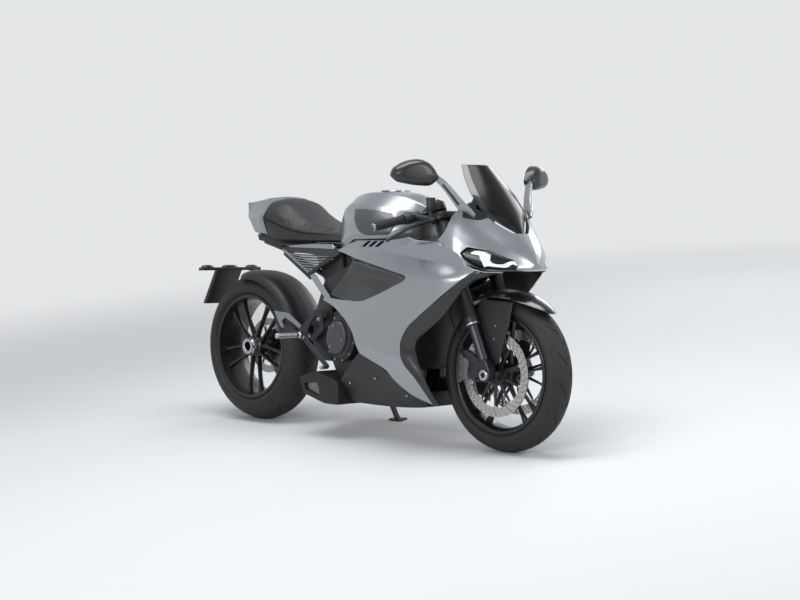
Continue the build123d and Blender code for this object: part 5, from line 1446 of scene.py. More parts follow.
ROTOR_WALL, HOLE_R = 5.0, 3.4
ROTORS = (
    # name, body, node, axle, y, inner, outer, hub radius, arms, sectors, lead
    ("front_right", "front_wheel", "front_discs", FRONT, -66.0, 127.0, 162.5, 32.0, 10, 38, 18.0),
    ("front_left", "front_wheel", "front_discs", FRONT, 66.0, 127.0, 162.5, 32.0, 10, 38, 18.0),
    ("rear", "rear_wheel", "rear_disc", REAR, 30.0, 90.0, 122.0, 32.0, 8, 30, 18.0),
)
for name, body, node, axle, y, r_in, r_out, hub_r, arms, parts, lead in ROTORS:
    third = (r_out - r_in) / 3.4
    holes = ((0.22, r_in + third * 0.75), (0.5, (r_in + r_out) / 2), (0.78, r_out - third * 0.75))
    ring = drilled_sector(name + "_sector", r_in, r_out, y, ROTOR_WALL, parts, holes, HOLE_R)
    round_axle(name + "_rotor", ring, parts, 0.0, axle, body, STEEL, (node,))
    arm = carrier(name + "_arm", y, hub_r, r_in + 3, arms, 4.6)
    round_axle(name + "_carrier", arm, arms, lead, axle, body, ANODISED)
    drum = bobbin(name + "_bobbin", y, r_in - 1.0, ROTOR_WALL, 7.2)
    round_axle(name + "_bobbins", drum, arms, lead, axle, body, ALUMINIUM)

# %% [markdown]
# ### Fork, guards and front calipers
# Each leg is turned: a wide outer tube with a bright collar, a slim dark inner tube, and a foot
# that clamps the axle. A guard plate hides half of the wheel behind the leg.

# %% Fork legs
RAKE = math.radians(24.0)
LEG_UP = Vector((-math.sin(RAKE), 0.0, math.cos(RAKE)))
LEG_AHEAD = Vector((math.cos(RAKE), 0.0, math.sin(RAKE)))


def on_leg(u, w, y):
    """A point beside the leg: u ahead of it, w up along it from the axle."""
    return Vector((FRONT[0], y, FRONT[1])) + LEG_AHEAD * u + LEG_UP * w


def both_legs(name, profile, segments=48, u=0.0, y=-107.0):
    """A turned piece along the leg, on both sides."""
    return mirrored(aimed(lathe(name, profile, segments), on_leg(u, 0, y), LEG_UP))


outer = both_legs("fork_outer", [
    (22.0, 200.0), (27.6, 200.5), (28.7, 202.0), (28.7, 208.0), (27.6, 209.0), (27.6, 226.0), (28.7, 227.0),
    (28.7, 232.0), (27.0, 234.5), (27.0, 706.0), (25.0, 711.0), (10.0, 711.5),
])
settle(outer, "steering", FRAME_PAINT, ("fork_outer_tubes",))
collar = both_legs("fork_collar", [(22.4, 199.4), (27.0, 199.6), (28.9, 201.6), (28.9, 206.8)])
settle(collar, "steering", BOLT_STEEL)
inner = both_legs("fork_inner", [(21.4, 44.0), (21.4, 205.0)])
settle(inner, "steering", ANODISED, ("fork_sliders",))
wiper = both_legs("fork_wiper", [(21.5, 194.0), (24.5, 195.0), (25.5, 199.0), (25.5, 200.2)])
settle(wiper, "steering", GRIP_RUBBER)
cap = both_legs("fork_cap", [(22.0, 711.0), (22.0, 714.0), (19.0, 716.0), (10.5, 716.0), (9.5, 713.0)])
settle(cap, "steering", ALUMINIUM)

# %% Slider feet and caliper brackets
FOOT = rounded([(-30, -12, 10), (-26, 60, 14), (24, 60, 14), (26, 6, 12), (8, -26, 14), (-16, -27, 12)], 10)


def along_leg(ring):
    """A ring of (u, w) in the leg's own plane, as (x, z)."""
    return [(on_leg(u, w, 0).x, on_leg(u, w, 0).z) for u, w in ring]


def plate(name, ring_xz, y_from, y_to, edge=2.0, segments=3):
    """A flat plate cut to an outline in the side view, with rounded edges."""
    return bevelled(block(name, ring_xz, y_from, y_to), edge, 40, segments)


foot = plate("fork_foot", along_leg(FOOT), -129.0, -87.0, 5.0, 4)
pair(foot, "steering", ANODISED)
BRACKET_RING = rounded([
    (-24, 44, 6), (-24, 4, 8), (-92, 18, 10), (-104, 34, 6), (-96, 48, 6), (-62, 40, 10), (-58, 62, 10),
    (-92, 118, 10), (-84, 132, 8), (-66, 128, 8), (-24, 74, 10),
], 8)
bracket = plate("caliper_bracket", along_leg(BRACKET_RING), -110.0, -92.0, 2.5)
pair(bracket, "steering", ANODISED)

# %% Calipers
def sector(centre, r_in, r_out, start, end, parts=14):
    """Outline of a ring segment in the side view."""
    low, high = math.radians(start), math.radians(end)
    return arc(centre, r_out, low, high, parts) + arc(centre, r_in, high, low, parts)


def four_pot(name, centre, r_in, r_out, start, end, y, half, body, replaces=()):
    """A caliper: two halves, three bridges over the rotor and two cylinder bosses."""
    mid, reach = (r_in + r_out) / 2, end - start
    body_ring = sector(centre, r_in + 6, r_out - 6, start + 2, end - 2)
    parts = [
        plate("half", body_ring, y - half, y - 6.0, 4.0), plate("half", body_ring, y + 6.0, y + half, 4.0),
    ]
    for low, high, deep, under, wide in (
        (0.0, 0.26, 17, 0, 0.8), (0.74, 1.0, 17, 0, 0.8), (0.44, 0.56, 13, 2, 0.7),
    ):
        ring = sector(centre, r_out - deep, r_out - under, start + reach * low, start + reach * high)
        parts.append(plate("bridge", ring, y - half * wide, y + half * wide, 2.5))
    for share in (0.28, 0.72):
        at = about(centre, mid, math.radians(start + reach * share), y - half + 1.5)
        pot = lathe("pot", [(17.5, -8.0), (17.5, 1.0), (15.5, 2.8), (10.0, 2.8), (9.0, 1.4), (0.6, 1.4)], 32)
        parts.append(aimed(pot, at, (0, -1, 0)))
    return settle(joined(name, parts), body, CALIPER_GREY, replaces, 36)


CALIPER_GREY = finish("hard_anodised_grey", "#6C6E71", "#66686B", 0.38, 0.7, 1.0, 0.02)
for tag, sign in (("right", -1), ("left", 1)):
    four_pot(
        tag + "_front_caliper", FRONT, 118, 185, 156.5, 193.5, sign * 66.0, 24.0, "steering",
        ("front_calipers",),
    )
four_pot("rear_caliper_body", REAR, 84, 141, -61, -19, 30.0, 21.0, "chassis", ("rear_caliper",))
spots = both_sides([about(FRONT, 178, math.radians(turn), 84.0) for turn in (160.0, 190.0)])
copies("caliper_screws", SCREW, spots, "steering", BOLT_STEEL, 1.1)

# %% Axle ends
axle = turned_ring("front_axle_tube", [
    (-140.0, 11.0), (-140.6, 13.0), (-140.6, 17.6), (-139.0, 20.0), (-131.0, 20.0), (-130.4, 14.0),
    (130.4, 14.0), (131.0, 20.0), (139.0, 20.0), (140.6, 17.6), (140.6, 13.0), (140.0, 11.0),
], FRONT, 64)
settle(axle, "steering", ALUMINIUM, ("front_axle",))

# %% [markdown]
# ### Front mudguard
# A thin crown follows the tyre and ends in a point ahead; below it a plate on each leg carries the
# two screws. The crown is a grid bent round the axle, thickened inwards.

# %% Mudguard
CROWN = (
    # angle round the axle in degrees, half width, top radius, drop at the edge
    (128.0, 66.0, 316.0, 20.0), (112.0, 78.0, 321.0, 26.0), (90.0, 79.0, 323.0, 30.0),
    (72.0, 74.0, 324.0, 26.0), (58.0, 58.0, 326.0, 16.0), (49.0, 30.0, 329.0, 6.0), (46.0, 10.0, 330.0, 2.0),
)
turns = [row[0] for row in reversed(CROWN)]
half_at, top_at, drop_at = (curve(turns, [row[k] for row in reversed(CROWN)]) for k in (1, 2, 3))
verts, rows, across = [], 44, 24
for i in range(rows + 1):
    turn = turns[0] + (turns[-1] - turns[0]) * i / rows
    for k in range(across + 1):
        t = 2 * k / across - 1
        r = top_at(turn) - drop_at(turn) * abs(t) ** 2.4 - 4.0 * max(0.0, abs(t) - 0.35)
        verts.append(about(FRONT, r, math.radians(turn), half_at(turn) * t))
crown = bevelled(walled(new_piece("fender_crown", verts, grid_faces(rows, across)), 3.0), 0.8)
settle(crown, "steering", GLOSSY, ("front_fender",), 30)
# The plate's corners, ahead of and above the axle.
GUARD = ((-68, 282), (92, 274), (76, 190), (47, 114), (33, 49), (8, 34), (-17, 31), (-102, 201))
guard_ring = rounded([(FRONT[0] + x, FRONT[1] + z) for x, z in GUARD], 8)
GUARD_LINES = [((1418, 430), (1487, 436)), ((1428, 480), (1500, 486))]
guard = skin(
    "leg_guard", guard_ring, lambda x, z: 80.0 + 3.0 * math.cos((x - 1440) / 75.0), 9.0, 3.5, GUARD_LINES,
    rim=2.5,
)
pair(guard, "steering", MOULDED, angle=30)
spots = both_sides(((1455, 83.4, 434), (1462, 83.4, 484)))
copies("guard_screws", SCREW, spots, "steering", BOLT_STEEL)

# %% [markdown]
# ### Mirrors
# A long teardrop shell with a flat glass at the back, on a flat silver stalk with a dark slot.

# %% Mirrors
EYE = Vector((1283, -341, 1055))
OUT, BACK = Vector((-0.381, -0.924, 0.0)), Vector((-0.924, 0.381, 0.0))
TEAR = rounded([
    (-98, -18, 8), (-72, 30, 30), (-14, 53, 40), (46, 40, 30), (88, 14, 12), (98, -12, 8), (72, -37, 24),
    (4, -48, 50), (-62, -50, 16),
], 20)


def lofted(name, rings, caps=(True, True)):
    """A skin over rings of equal count."""
    verts = [p for ring in rings for p in ring]
    return closed(name, verts, tube_faces(len(rings) - 1, len(rings[0]), caps))


def tear_ring(size, depth, shift=0.0):
    """The teardrop outline at a depth ahead of the glass plane."""
    return [tuple(EYE + OUT * (u * size + shift) + Vector((0, 0, v * size)) - BACK * depth) for u, v in TEAR]


shell = [tear_ring(0.955, -15.0), tear_ring(0.985, -16.0), tear_ring(1.0, -13.0), tear_ring(1.0, 0.0)]
for n in range(1, 9):
    t = n / 8
    shell.append(tear_ring(math.cos(t * 1.22) ** 0.8, 38.0 * math.sin(t * math.pi / 2), 4.0 * t))
SATIN_BLACK = finish("satin_black_lacquer", "#141518", "#17181B", 0.34, 0.0, coat=0.15)
pair(lofted("mirror_shell", shell, (False, True)), "chassis", SATIN_BLACK, ("mirror_housings",), 50)
backing = lofted("mirror_back", [tear_ring(0.96, -13.2), tear_ring(0.96, -6.0)])
pair(backing, "chassis", MOULDED)
GLASS = finish("silvered_mirror_glass", "#C9CDD1", "#C4C8CC", 0.03, 1.0)
glass = lofted("mirror_glass", [tear_ring(0.925, -14.6), tear_ring(0.94, -14.0), tear_ring(0.94, -12.6)])
pair(glass, "chassis", GLASS, angle=30)


def flat_arm(name, stops):
    """A flat arm lofted through (place, half width along x, half thickness)."""
    rings, lean = [], Vector((1, 0, 0.25))
    places = [Vector(s[0]) for s in stops]
    corner = rounded([(-1, -1), (1, -1), (1, 1), (-1, 1)], 0.5, 3)
    for i, (_, wide, thick) in enumerate(stops):
        ahead = (places[min(i + 1, len(stops) - 1)] - places[max(i - 1, 0)]).normalized()
        across = (lean - ahead * ahead.dot(lean)).normalized()
        normal = ahead.cross(across)
        rings.append([tuple(places[i] + across * (u * wide) + normal * (v * thick)) for u, v in corner])
    return lofted(name, rings)


line = space_curve((
    (1406, -158, 890), (1378, -190, 932), (1350, -222, 985), (1332, -246, 1018), (1312, -268, 1040),
), 16)
half_wide, half_thick = curve([0, 2, 6, 15], [20.0, 25.0, 20.0, 14.0]), curve([0, 5, 15], [5.0, 6.5, 5.0])
stalk = flat_arm("mirror_arm", [(p, half_wide(i), half_thick(i)) for i, p in enumerate(line)])
pair(stalk, "chassis", SILVER, ("mirror_stalks",), 36)
normal_out = Vector((0.05, -0.86, -0.5)).normalized()
slot_stops = []
for i, (x, y, z) in enumerate(line[5:13]):
    place = Vector((x, y - 0.2, z)) + normal_out * (half_thick(5 + i) * 0.93)
    slot_stops.append((tuple(place), 6.5 - 0.3 * i, 0.9))
slot = flat_arm("mirror_slot", slot_stops)
pair(slot, "chassis", MOULDED, angle=36)
FOOT_PAD = rounded([(1386, 888, 6), (1380, 916, 6), (1402, 928, 5), (1448, 893, 5), (1430, 878, 8)], 6)
base = skin("mirror_foot", FOOT_PAD, lambda x, z: nose_side(x, z) + 3.0, 7.0, 4.0, rim=2.0)
pair(base, "chassis", GLOSSY, angle=36)

# %% [markdown]
# ### Engine covers
# Cast covers stand proud of the cases: a rounded drum, a bolted flange round it and, on the clutch
# side, a raised oval pad that is machined smooth.

# %% Covers
def oval(centre, wide, tall, tilt, y, size=1.0, shift=(0.0, 0.0), count=72):
    """An ellipse in the side view, as a ring of points."""
    ring, turn = [], math.radians(tilt)
    for k in range(count):
        at = 2 * math.pi * k / count
        u, v = wide * size * math.cos(at), tall * size * math.sin(at)
        x = centre[0] + shift[0] + u * math.cos(turn) - v * math.sin(turn)
        ring.append((x, y, centre[1] + shift[1] + u * math.sin(turn) + v * math.cos(turn)))
    return ring


def stacked(name, centre, wide, tall, tilt, steps):
    """A cover lofted through ovals of (y, size), or of (y, size, shift)."""
    return lofted(name, [oval(centre, wide, tall, tilt, *step) for step in steps])


BACKWARD = (-9.0, 2.0)
CLUTCH, ALTERNATOR = (700.0, 402.0), (842.0, 392.0)
drum = stacked("clutch_drum", CLUTCH, 82, 98, -12, (
    (-134, 1.0), (-166, 1.0), (-171, 0.985), (-174.5, 0.95), (-177, 0.90), (-184, 0.865), (-188, 0.84),
    (-189.6, 0.81), (-189.2, 0.76), (-187, 0.74, BACKWARD),
))
settle(drum, "chassis", COVER, ("clutch_cover",), 50)
SMOOTH_COVER = finish("smooth_grey_cover", "#3C3D40", "#404144", 0.42, 0.35, coat=0.2)
pad = stacked("clutch_pad", CLUTCH, 82, 98, -12, (
    (-186, 0.70, BACKWARD), (-193, 0.69, BACKWARD), (-196.5, 0.655, BACKWARD), (-197.6, 0.62, BACKWARD),
    (-197.9, 0.30, BACKWARD),
))
settle(pad, "chassis", SMOOTH_COVER, angle=50)
spots = [(p, (0, -1, 0)) for p in oval(CLUTCH, 82, 98, -12, -176.2, 0.945, count=11)]
spots += [(p, (0, -1, 0)) for p in oval(CLUTCH, 82, 98, -12, -197.6, 0.50, BACKWARD, 3)]
copies("clutch_screws", SCREW, spots, "chassis", BOLT_STEEL, 1.15)
drum = stacked("alternator_drum", ALTERNATOR, 92, 92, 0, (
    (134, 1.0), (162, 1.0), (167, 0.98), (169, 0.94), (170, 0.86), (178, 0.82), (182, 0.77), (183, 0.70),
    (181, 0.66), (181, 0.3),
))
settle(drum, "chassis", COVER, ("alternator_cover",), 50)
spots = [(p, (0, 1, 0)) for p in oval(ALTERNATOR, 92, 92, 0, 169.2, 0.91, count=8)]
copies("alternator_screws", SCREW, spots, "chassis", BOLT_STEEL, 1.15)

# %% [markdown]
# ### Silencer and its outlet
# A folded box under the engine; the outlet in its lower rear corner is a slanted hole that crossing
# wires close as a woven screen does.

# %% Silencer
BOX_RING = [(440, 224), (474, 158), (600, 126), (684, 126), (684, 214), (640, 236), (535, 256)]
box = plate("silencer_box", rounded([(x, z, 10) for x, z in BOX_RING], 10), -175.5, 95.5, 9.0, 4)
OUTLET = [(478, 203), (487, 177), (582, 151), (556, 212)]
carve(box, block("outlet_hole", rounded([(x, z, 5) for x, z in OUTLET], 5), -190, -158))
settle(box, "chassis", SILENCER_COAT, ("silencer",))
wires = []
for n in range(13):
    t = (n + 0.5) / 13
    low = Vector((487 + 95 * t, -161.0, 177 - 26 * t))
    high = Vector((478 + 78 * t, -161.0, 203 + 9 * t))
    wires.append(bar("wire", low, high + Vector((6.0, 0, 0)), 1.9, 1.9, 0.0, 2))
for n in range(5):
    t = (n + 0.5) / 5
    low, high = (485 - 7 * t, -162.5, 180 + 24 * t), (580 - 26 * t, -162.5, 155 + 56 * t)
    wires.append(bar("wire", low, high, 1.9, 1.9, 0.0, 2))
settle(joined("outlet_screen", wires), "chassis", STEEL)

# %% Belly pan
PAN = (
    # x, half section: keel, lower edge, bend, upper edge
    (692, [(0, 128), (92, 134), (112, 150), (168, 231.5)]),
    (768, [(0, 127), (98, 133), (122, 156), (188, 292)]),
    (850, [(0, 126), (103, 133), (126, 160), (204, 351)]),
    (950, [(0, 128), (103, 135), (126, 160), (205, 311.5)]),
    (1070, [(0, 134), (98, 142), (118, 160), (187, 230)]),
    (1128, [(0, 142), (90, 150), (106, 164), (171, 206)]),
)
stops = [row[0] for row in PAN]
pan_rows = [
    (curve(stops, [row[1][k][0] for row in PAN]), curve(stops, [row[1][k][1] for row in PAN]))
    for k in range(4)
]
verts, faces, along, parts = [], [], 48, 30
for i in range(along + 1):
    x = 692 + 436 * i / along
    half = [(y(x), z(x)) for y, z in pan_rows]
    left = [(-half[3][0], half[3][1], 0), (-half[2][0], half[2][1], 12), (-half[1][0], half[1][1], 12)]
    section = rounded(left + [(-y, z, radius) for y, z, radius in reversed(left)], 12, 4)
    verts += [(x, y, z) for y, z in section]
    count = len(section)
for i in range(along):
    for k in range(count - 1):
        faces.append((i * count + k, (i + 1) * count + k, (i + 1) * count + k + 1, i * count + k + 1))
faces.append(tuple(along * count + k for k in range(count)))
pan = bevelled(walled(closed("belly_tub", verts, faces), 4.0), 1.2)
settle(pan, "chassis", MOULDED, ("belly_pan",), 32)
SCREW_POINTS = ((740, 159.0, 220), (900, 173.0, 250), (1060, 153.0, 192))
spots = [((x, sign * y, z), (0, sign * 0.92, -0.4)) for x, y, z in SCREW_POINTS for sign in (-1, 1)]
copies("belly_screws", BUTTON, spots, "chassis", BOLT_STEEL, 1.3)

# %% [markdown]
# ### Rear-set footrests
# A skeleton plate with two windows holds a fluted peg, a heel guard and a foot lever with a toe peg.

# %% Footrests
SET = [
    (578, 508), (592, 430), (520, 374), (440, 384), (322, 428), (282, 494), (367, 489), (452, 440),
    (494, 468), (536, 512),
]
set_plate = plate("footrest_plate", rounded([(x, z, 8) for x, z in SET], 8), -172.6, -165.0, 1.6)
WINDOWS = (
    [(332, 470), (346, 442), (440, 406), (430, 430), (366, 470)],
    [(512, 400), (568, 440), (560, 484), (540, 486), (508, 452), (492, 420)],
)
carve(set_plate, *[block("window", rounded([(x, z, 6) for x, z in ring], 6), -190, -150) for ring in WINDOWS])
pair(set_plate, "chassis", ANODISED, ("footrest_right", "footrest_left"))
HEEL = rounded([
    (280, 496, 3), (322, 430, 6), (346, 424, 6), (330, 456, 8), (352, 472, 6), (446, 428, 4), (456, 440, 3),
    (372, 490, 8),
], 5)
heel = plate("heel_guard", HEEL, -176.0, -172.4, 1.2)
pair(heel, "chassis", SATIN)
flutes = [(11.5, -2.0), (13.5, 0.0), (13.5, 12.0), (9.0, 16.0), (9.0, 26.0)]
for n in range(15):
    flutes += [(11.5, 28.0 + 6.6 * n), (11.5, 31.6 + 6.6 * n), (10.4, 32.4 + 6.6 * n), (10.4, 33.8 + 6.6 * n)]
flutes += [(11.5, 128.0), (11.5, 132.5), (9.5, 134.8), (0.6, 134.8)]
peg = aimed(lathe("foot_peg", flutes, 24), (452, -173.0, 402), (0, -1, 0))
pair(peg, "chassis", ALUMINIUM, angle=35)
LEVER = rounded([
    (462, 392, 6), (476, 406, 8), (496, 390, 8), (560, 342, 30), (634, 284, 6), (622, 268, 6), (548, 322, 30),
    (476, 378, 10),
], 6)
pair(plate("foot_lever", LEVER, -181.0, -173.2, 2.4), "chassis", ANODISED)
toe = lathe("toe_peg", [(5.0, -2.0), (5.0, 7.0), (8.0, 8.0), (8.0, 40.0), (6.6, 42.0), (0.6, 42.0)], 24)
pair(aimed(toe, (623, -175.0, 278), (0, -1, 0)), "chassis", ALUMINIUM)
spots = both_sides(((562, 172.8, 472), (505, 172.8, 400)))
copies("set_bolts", HEX_BOLT, spots, "chassis", BOLT_STEEL)
copies("lever_pivots", SCREW, both_sides(((478, 181.2, 392),)), "chassis", BOLT_STEEL, 1.5)

# %% [markdown]
# ### Rear mudguard and plate holder
# The mudguard is a smooth band over the tyre. The holder is a slim arm with a crossbar that carries
# three flat lamps and a blank plate.

# %% Rear mudguard
band_r = curve([0, 40, 70, 92, 102], [338.0, 336.0, 330.0, 317.0, 297.0])
verts, rows, across, widest = [], 60, 36, 102.0
for i in range(rows + 1):
    turn = math.radians(17.0 + 86.0 * i / rows)
    ease = min(1.0, i / 5.0, (rows - i) / 9.0)
    half = widest * (0.80 + 0.20 * math.sin(ease * math.pi / 2))
    for k in range(across + 1):
        y = half * (2 * k / across - 1)
        verts.append(about(REAR, band_r(abs(y) * widest / half), turn, y))
band = bevelled(walled(new_piece("rear_guard", verts, grid_faces(rows, across)), 2.8), 0.8)
settle(band, "chassis", MOULDED, ("rear_hugger",))

# %% Plate holder
softened("plate_holder", MOULDED, 2.0)
DOME = ((668, 1.0), (673, 0.97), (677, 0.86), (679.5, 0.62), (680.5, 0.3))  # height, share of the size
for y, wide in ((-128.0, 34.0), (0.0, 46.0), (128.0, 34.0)):
    rings = [[(-244 + 17 * s * u, y + wide * s * v, z) for u, v in circle(1.0, 40)] for z, s in DOME]
    settle(lofted("rear_blister", rings, (False, True)), "chassis", GLOSSY, angle=50)

# %% [markdown]
# ### Rear hub, sprocket and chain
# The hollow wheel nut is turned and notched. The chain is the classic case for Geometry Nodes: one
# inner and one outer link, set by turns along the path round both sprockets.

# %% Hub nut
nut = turned_ring("wheel_nut", [
    (-70.6, 30.4), (-70.6, 37.0), (-73.0, 39.5), (-84.0, 39.5), (-87.5, 36.5), (-93.2, 34.5), (-94.0, 32.5),
    (-94.0, 22.5), (-92.0, 20.6), (-14.0, 20.6), (-14.0, 29.4), (-66.0, 29.8),
], REAR, 72)
NOTCH = ((60.0, 5.5), (60.0, -5.5), (34.5, -5.5), (34.5, 5.5))
notches = []
for k in range(6):
    c, s = math.cos(math.pi * k / 3), math.sin(math.pi * k / 3)
    ring = [(REAR[0] + u * c - v * s, REAR[1] + u * s + v * c) for u, v in NOTCH]
    notches.append(block("notch", ring, -96, -76))
carve(nut, *notches)
settle(nut, "rear_wheel", ALUMINIUM)
shaft = turned_ring("hub_shaft", [
    (-72.0, 20.8), (-72.0, 29.6), (170.5, 29.6), (172.0, 28.0), (172.0, 20.8),
], REAR, 64)
settle(shaft, "rear_wheel", ALUMINIUM, ("rear_spindle",))


def hexagon_ring(name, y_from, y_to, across, bore):
    """A hexagonal nut about the rear axle."""
    piece = block(name, circle(across, 6, *REAR), y_from, y_to)
    carve(piece, block("bore", circle(bore, 48, *REAR), y_from - 5, y_to + 5))
    return bevelled(piece, 1.6, 45)


settle(hexagon_ring("left_nut", 155.2, 171.8, 37.6, 29.7), "rear_wheel", ALUMINIUM)
SPROCKET_TEETH, TOOTH = 38, (91.0, 94.5, 97.2, 94.5)  # the tooth as four radii
WINDOW = ((74, 9), (74, 51), (48, 44), (48, 16))  # corners as radius and degrees
ring = []
for k in range(SPROCKET_TEETH * 4):
    x, _, z = about(REAR, TOOTH[k % 4], 2 * math.pi * k / (SPROCKET_TEETH * 4), 0.0)
    ring.append((x, z))
sprocket = block("rear_sprocket", ring, 147.2, 152.8)
cuts = []
for start in range(0, 360, 60):
    corners = [about(REAR, r, math.radians(start + a), 0.0) for r, a in WINDOW]
    cuts.append(block("window", rounded([(x, z, 5) for x, _, z in corners], 5), 140, 160))
carve(sprocket, block("bore", circle(29.7, 48, *REAR), 140, 160), *cuts)
settle(sprocket, "rear_wheel", STEEL, angle=35)

# %% Chain
PITCH = 15.875
centre_line = math.atan2(75.0, 640.0)
spread = math.acos(57.8 / math.hypot(640.0, 75.0))
loop = arc((640.0, 400.0), 38.2, centre_line + spread, centre_line - spread, 24)
loop += arc(REAR, 96.0, centre_line - spread, centre_line + spread - 2 * math.pi, 24)
loop = walked(loop, PITCH)
count = len(loop) - len(loop) % 2
loop = loop[:count]


def link(name, y, wide, drum):
    """One chain link about the origin with its length along z: two plates, rollers or pins."""
    half_pitch, end_r = 7.94, 4.6
    waist = arc((-half_pitch, 0), end_r, 0.5 * math.pi, 1.5 * math.pi, 8)
    waist += arc((half_pitch, 0), end_r, -0.5 * math.pi, 0.5 * math.pi, 8)
    parts = []
    for sign in (-1, 1):
        low, high = sorted((sign * (y - wide / 2), sign * (y + wide / 2)))
        parts.append(block("plate", [(v, u) for u, v in waist][::-1], low, high))
    for end in (-half_pitch, half_pitch):
        parts.append(block("roller", circle(drum, 12, 0.0, end), -y, y))
    return hidden_unit(joined(name, parts))


outer_link, inner_link = link("outer_link", 7.4, 1.8, 2.4), link("inner_link", 5.2, 1.8, 3.9)
for name, unit, first, tone in (
    ("chain_outer_links", outer_link, 0, CHAIN_STEEL),
    ("chain_inner_links", inner_link, 1, BOLT_STEEL),
):
    spots = []
    for k in range(first, count, 2):
        (xa, za), (xb, zb) = loop[k], loop[(k + 1) % count]
        spots.append((((xa + xb) / 2, 150.0, (za + zb) / 2), (xb - xa, 0.0, zb - za)))
    piece = copies(name, unit, spots, body_of_node["drive_chain"], tone, 1.0, 0.0)
    if first == 0:
        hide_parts("drive_chain")
print("chain links", count)

# %% [markdown]
# ### Controls
# Ribbed grips, bar ends, a switch block, a bent lever with its ball end and a small reservoir.

# %% Grips, levers and switches
bar_end, bar_root = Vector((1058, -332, 852)), on_leg(-42.0, 686.0, -107.0)
way = (bar_end - bar_root).normalized()
ribs = [(16.9, -122.0), (19.0, -121.0), (19.0, -117.0), (16.2, -115.5)]
for n in range(17):
    ribs += [
        (16.9, -113.0 + 6.5 * n), (16.9, -109.5 + 6.5 * n), (15.9, -108.9 + 6.5 * n),
        (15.9, -107.3 + 6.5 * n),
    ]
ribs += [(16.9, -1.6), (14.5, 0.0), (11.2, 0.0)]
pair(aimed(lathe("ribbed_grip", ribs, 32), bar_end, way), "steering", GRIP_RUBBER, ("grips",), 35)
end_cap = lathe("bar_weight", [
    (11.0, -1.0), (14.6, 0.4), (15.4, 2.0), (15.4, 6.6), (13.0, 8.0), (0.6, 8.0),
], 32)
pair(aimed(end_cap, bar_end, way), "steering", BOLT_STEEL)
for name in ("clip_on_right", "clip_on_left"):
    softened(name, FRAME_PAINT, 1.6, 40.0)
at = bar_end - way * 146.0
housing = lathe("switch_block", [
    (12.0, -20.0), (20.0, -19.0), (22.0, -16.0), (22.0, 16.0), (20.0, 19.0), (12.0, 20.0),
], 10)
pair(aimed(housing, at, way, 0.3), "steering", MOULDED, angle=34)
for n, (along, side_turn) in enumerate(((-8.0, 0.35), (7.0, 0.35), (0.0, 1.2))):
    out = (Vector((-1, 0, 0)) * math.cos(side_turn) + Vector((0, 0, 1)) * math.sin(side_turn))
    out = (out - way * out.dot(way)).normalized()
    key = lathe("switch_key", [(5.6, -4.0), (5.6, 1.6), (4.6, 2.6), (0.6, 2.6)], 16)
    pair(aimed(key, at + way * along + out * 21.0, out), "steering", GRIP_RUBBER if n else RED_LENS)
lever_line = space_curve((
    (1206, -168, 880), (1188, -202, 871), (1166, -238, 856), (1148, -288, 830), (1132, -332, 803),
), 20)
blade_half = curve([0, 7, 19], [8.0, 6.6, 5.2])
lever = flat_arm("hand_lever", [(p, blade_half(i), blade_half(i) * 0.62) for i, p in enumerate(lever_line)])
pair(lever, "steering", ANODISED)
turns = [math.pi * (k + 0.6) / 13 for k in range(12)]
ball = lathe("lever_ball", [(7.6 * math.sin(t), -7.6 * math.cos(t)) for t in turns], 20)
pair(aimed(ball, (1132, -334, 802), (0, -1, 0)), "steering", ANODISED, angle=60)
pot = lathe("fluid_pot", [
    (15.0, -22.0), (17.0, -20.0), (17.0, 14.0), (18.2, 15.0), (18.2, 21.0), (16.6, 22.4), (6.0, 22.4),
    (6.0, 21.4), (0.6, 21.4),
], 32)
pair(aimed(pot, (1198, -170, 944), (0, 0, 1)), "steering", MOULDED)

# %% [markdown]
# ### Frame, engine cases and everything behind
# What is mostly hidden keeps the CAD's own shape; its edges are rounded, so that castings and
# welded sections catch a line of light.

# %% Softened parts
for name, tone, width in (
    ("engine_block", CASTING, 5.0), ("swingarm", FRAME_PAINT, 6.0), ("front_sprocket", BOLT_STEEL, 0.6),
    ("main_frame", FRAME_PAINT, 3.0), ("subframe", FRAME_PAINT, 2.0), ("radiator", FRAME_PAINT, 2.5),
    ("exhaust_headers", HEADER_STEEL, 0.8), ("filler_cap", ALUMINIUM, 1.2), ("dash_stay", MOULDED, 2.0),
    ("triple_clamp", FRAME_PAINT, 2.0), ("side_stand", FRAME_PAINT, 1.6),
):
    softened(name, tone, width, 40.0)
fins = []
for z in range(316, 580, 8):
    x = 1107.5 + (z - 296) * 28 / 294 + 1.2
    fins.append(bar("fin", (x, -136, z), (x, 136, z), 1.6, 1.6, 0.0, 1))
settle(joined("radiator_fins", fins), "chassis", ANODISED, angle=30)
# Painted shade: a dark moulded sheet on each side behind the grille's window stands in for the shade inside
# the machine.
SHADE_TRAY = rounded([
    (470, 745, 6), (700, 772, 6), (742, 742, 8), (742, 640, 10), (640, 560, 10), (560, 566, 10),
], 8)
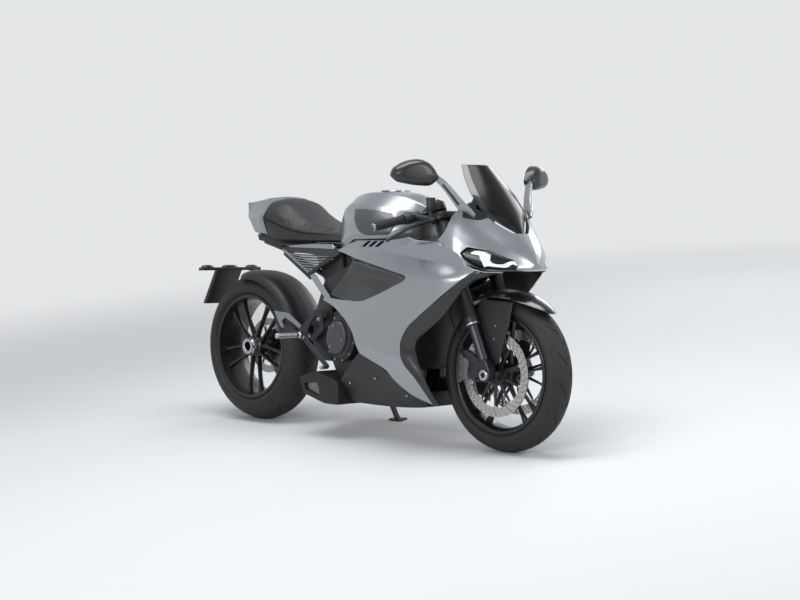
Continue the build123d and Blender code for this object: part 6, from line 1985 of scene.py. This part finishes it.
tray = [plate("tray", SHADE_TRAY, -112.0, -104.0, 2.0), plate("tray", SHADE_TRAY, 104.0, 112.0, 2.0)]
settle(joined("inner_panels", tray), "chassis", MOULDED)
FACE = rounded([(-66, 0.1), (66, 0.1), (66, 0.92), (-66, 0.92)], 0.05, 3)  # (y, share of the stay)
face_rings = [[(1298 - 1.2 + s + 38 * t, y, 903 + 72 * t) for y, t in FACE] for s in (-0.8, 1.5)]
screen_face = lofted("dash_display", face_rings)
settle(screen_face, body_of_node["dash_stay"], GLOSSY)

# %% [markdown]
# ### Nodes that keep their own mesh
# Every CAD node also gets its finish. The rear shock and the brake hoses are shown as they are;
# on the others it is what is left if a piece is taken out of this file.

# %% A finish on every node
DRESS = (
    (SILVER, "fuel_tank tail_cowl side_fairing_right side_fairing_left nose_fairing mirror_stalks"),
    (GLOSSY, "front_trims duct_panels headlamps windscreen"),
    (MOULDED, "knee_pads louvre_panels belly_pan dash_stay mirror_housings rear_hugger"),
    (MOULDED, "plate_holder front_fender"),
    (FRAME_PAINT, "swingarm radiator main_frame subframe fork_outer_tubes triple_clamp"),
    (FRAME_PAINT, "clip_on_right clip_on_left side_stand"),
    (ANODISED, "rear_caliper rear_shock footrest_right footrest_left fork_sliders front_calipers"),
    (ALUMINIUM, "rear_spindle filler_cap front_axle"),
    (STEEL, "front_discs rear_disc"),
    (WHEEL_PAINT, "front_rim rear_rim"),
    (TYRE_RUBBER, "front_tyre rear_tyre"),
    (COVER, "clutch_cover alternator_cover"),
    (CASTING, "engine_block"),
    (HEADER_STEEL, "exhaust_headers"),
    (SILENCER_COAT, "silencer"),
    (BOLT_STEEL, "front_sprocket"),
    (CHAIN_STEEL, "drive_chain"),
    (GRAINED, "seat"),
    (RED_LENS, "tail_lamp"),
    (GRIP_RUBBER, "grips front_brake_hoses"),
)
finish_of_node = {name: tone for tone, names in DRESS for name in names.split()}
for name, node in frame["nodes"].items():
    node.data.materials.clear()
    node.data.materials.append(finish_of_node[name])
print("nodes dressed", len(frame["nodes"]))
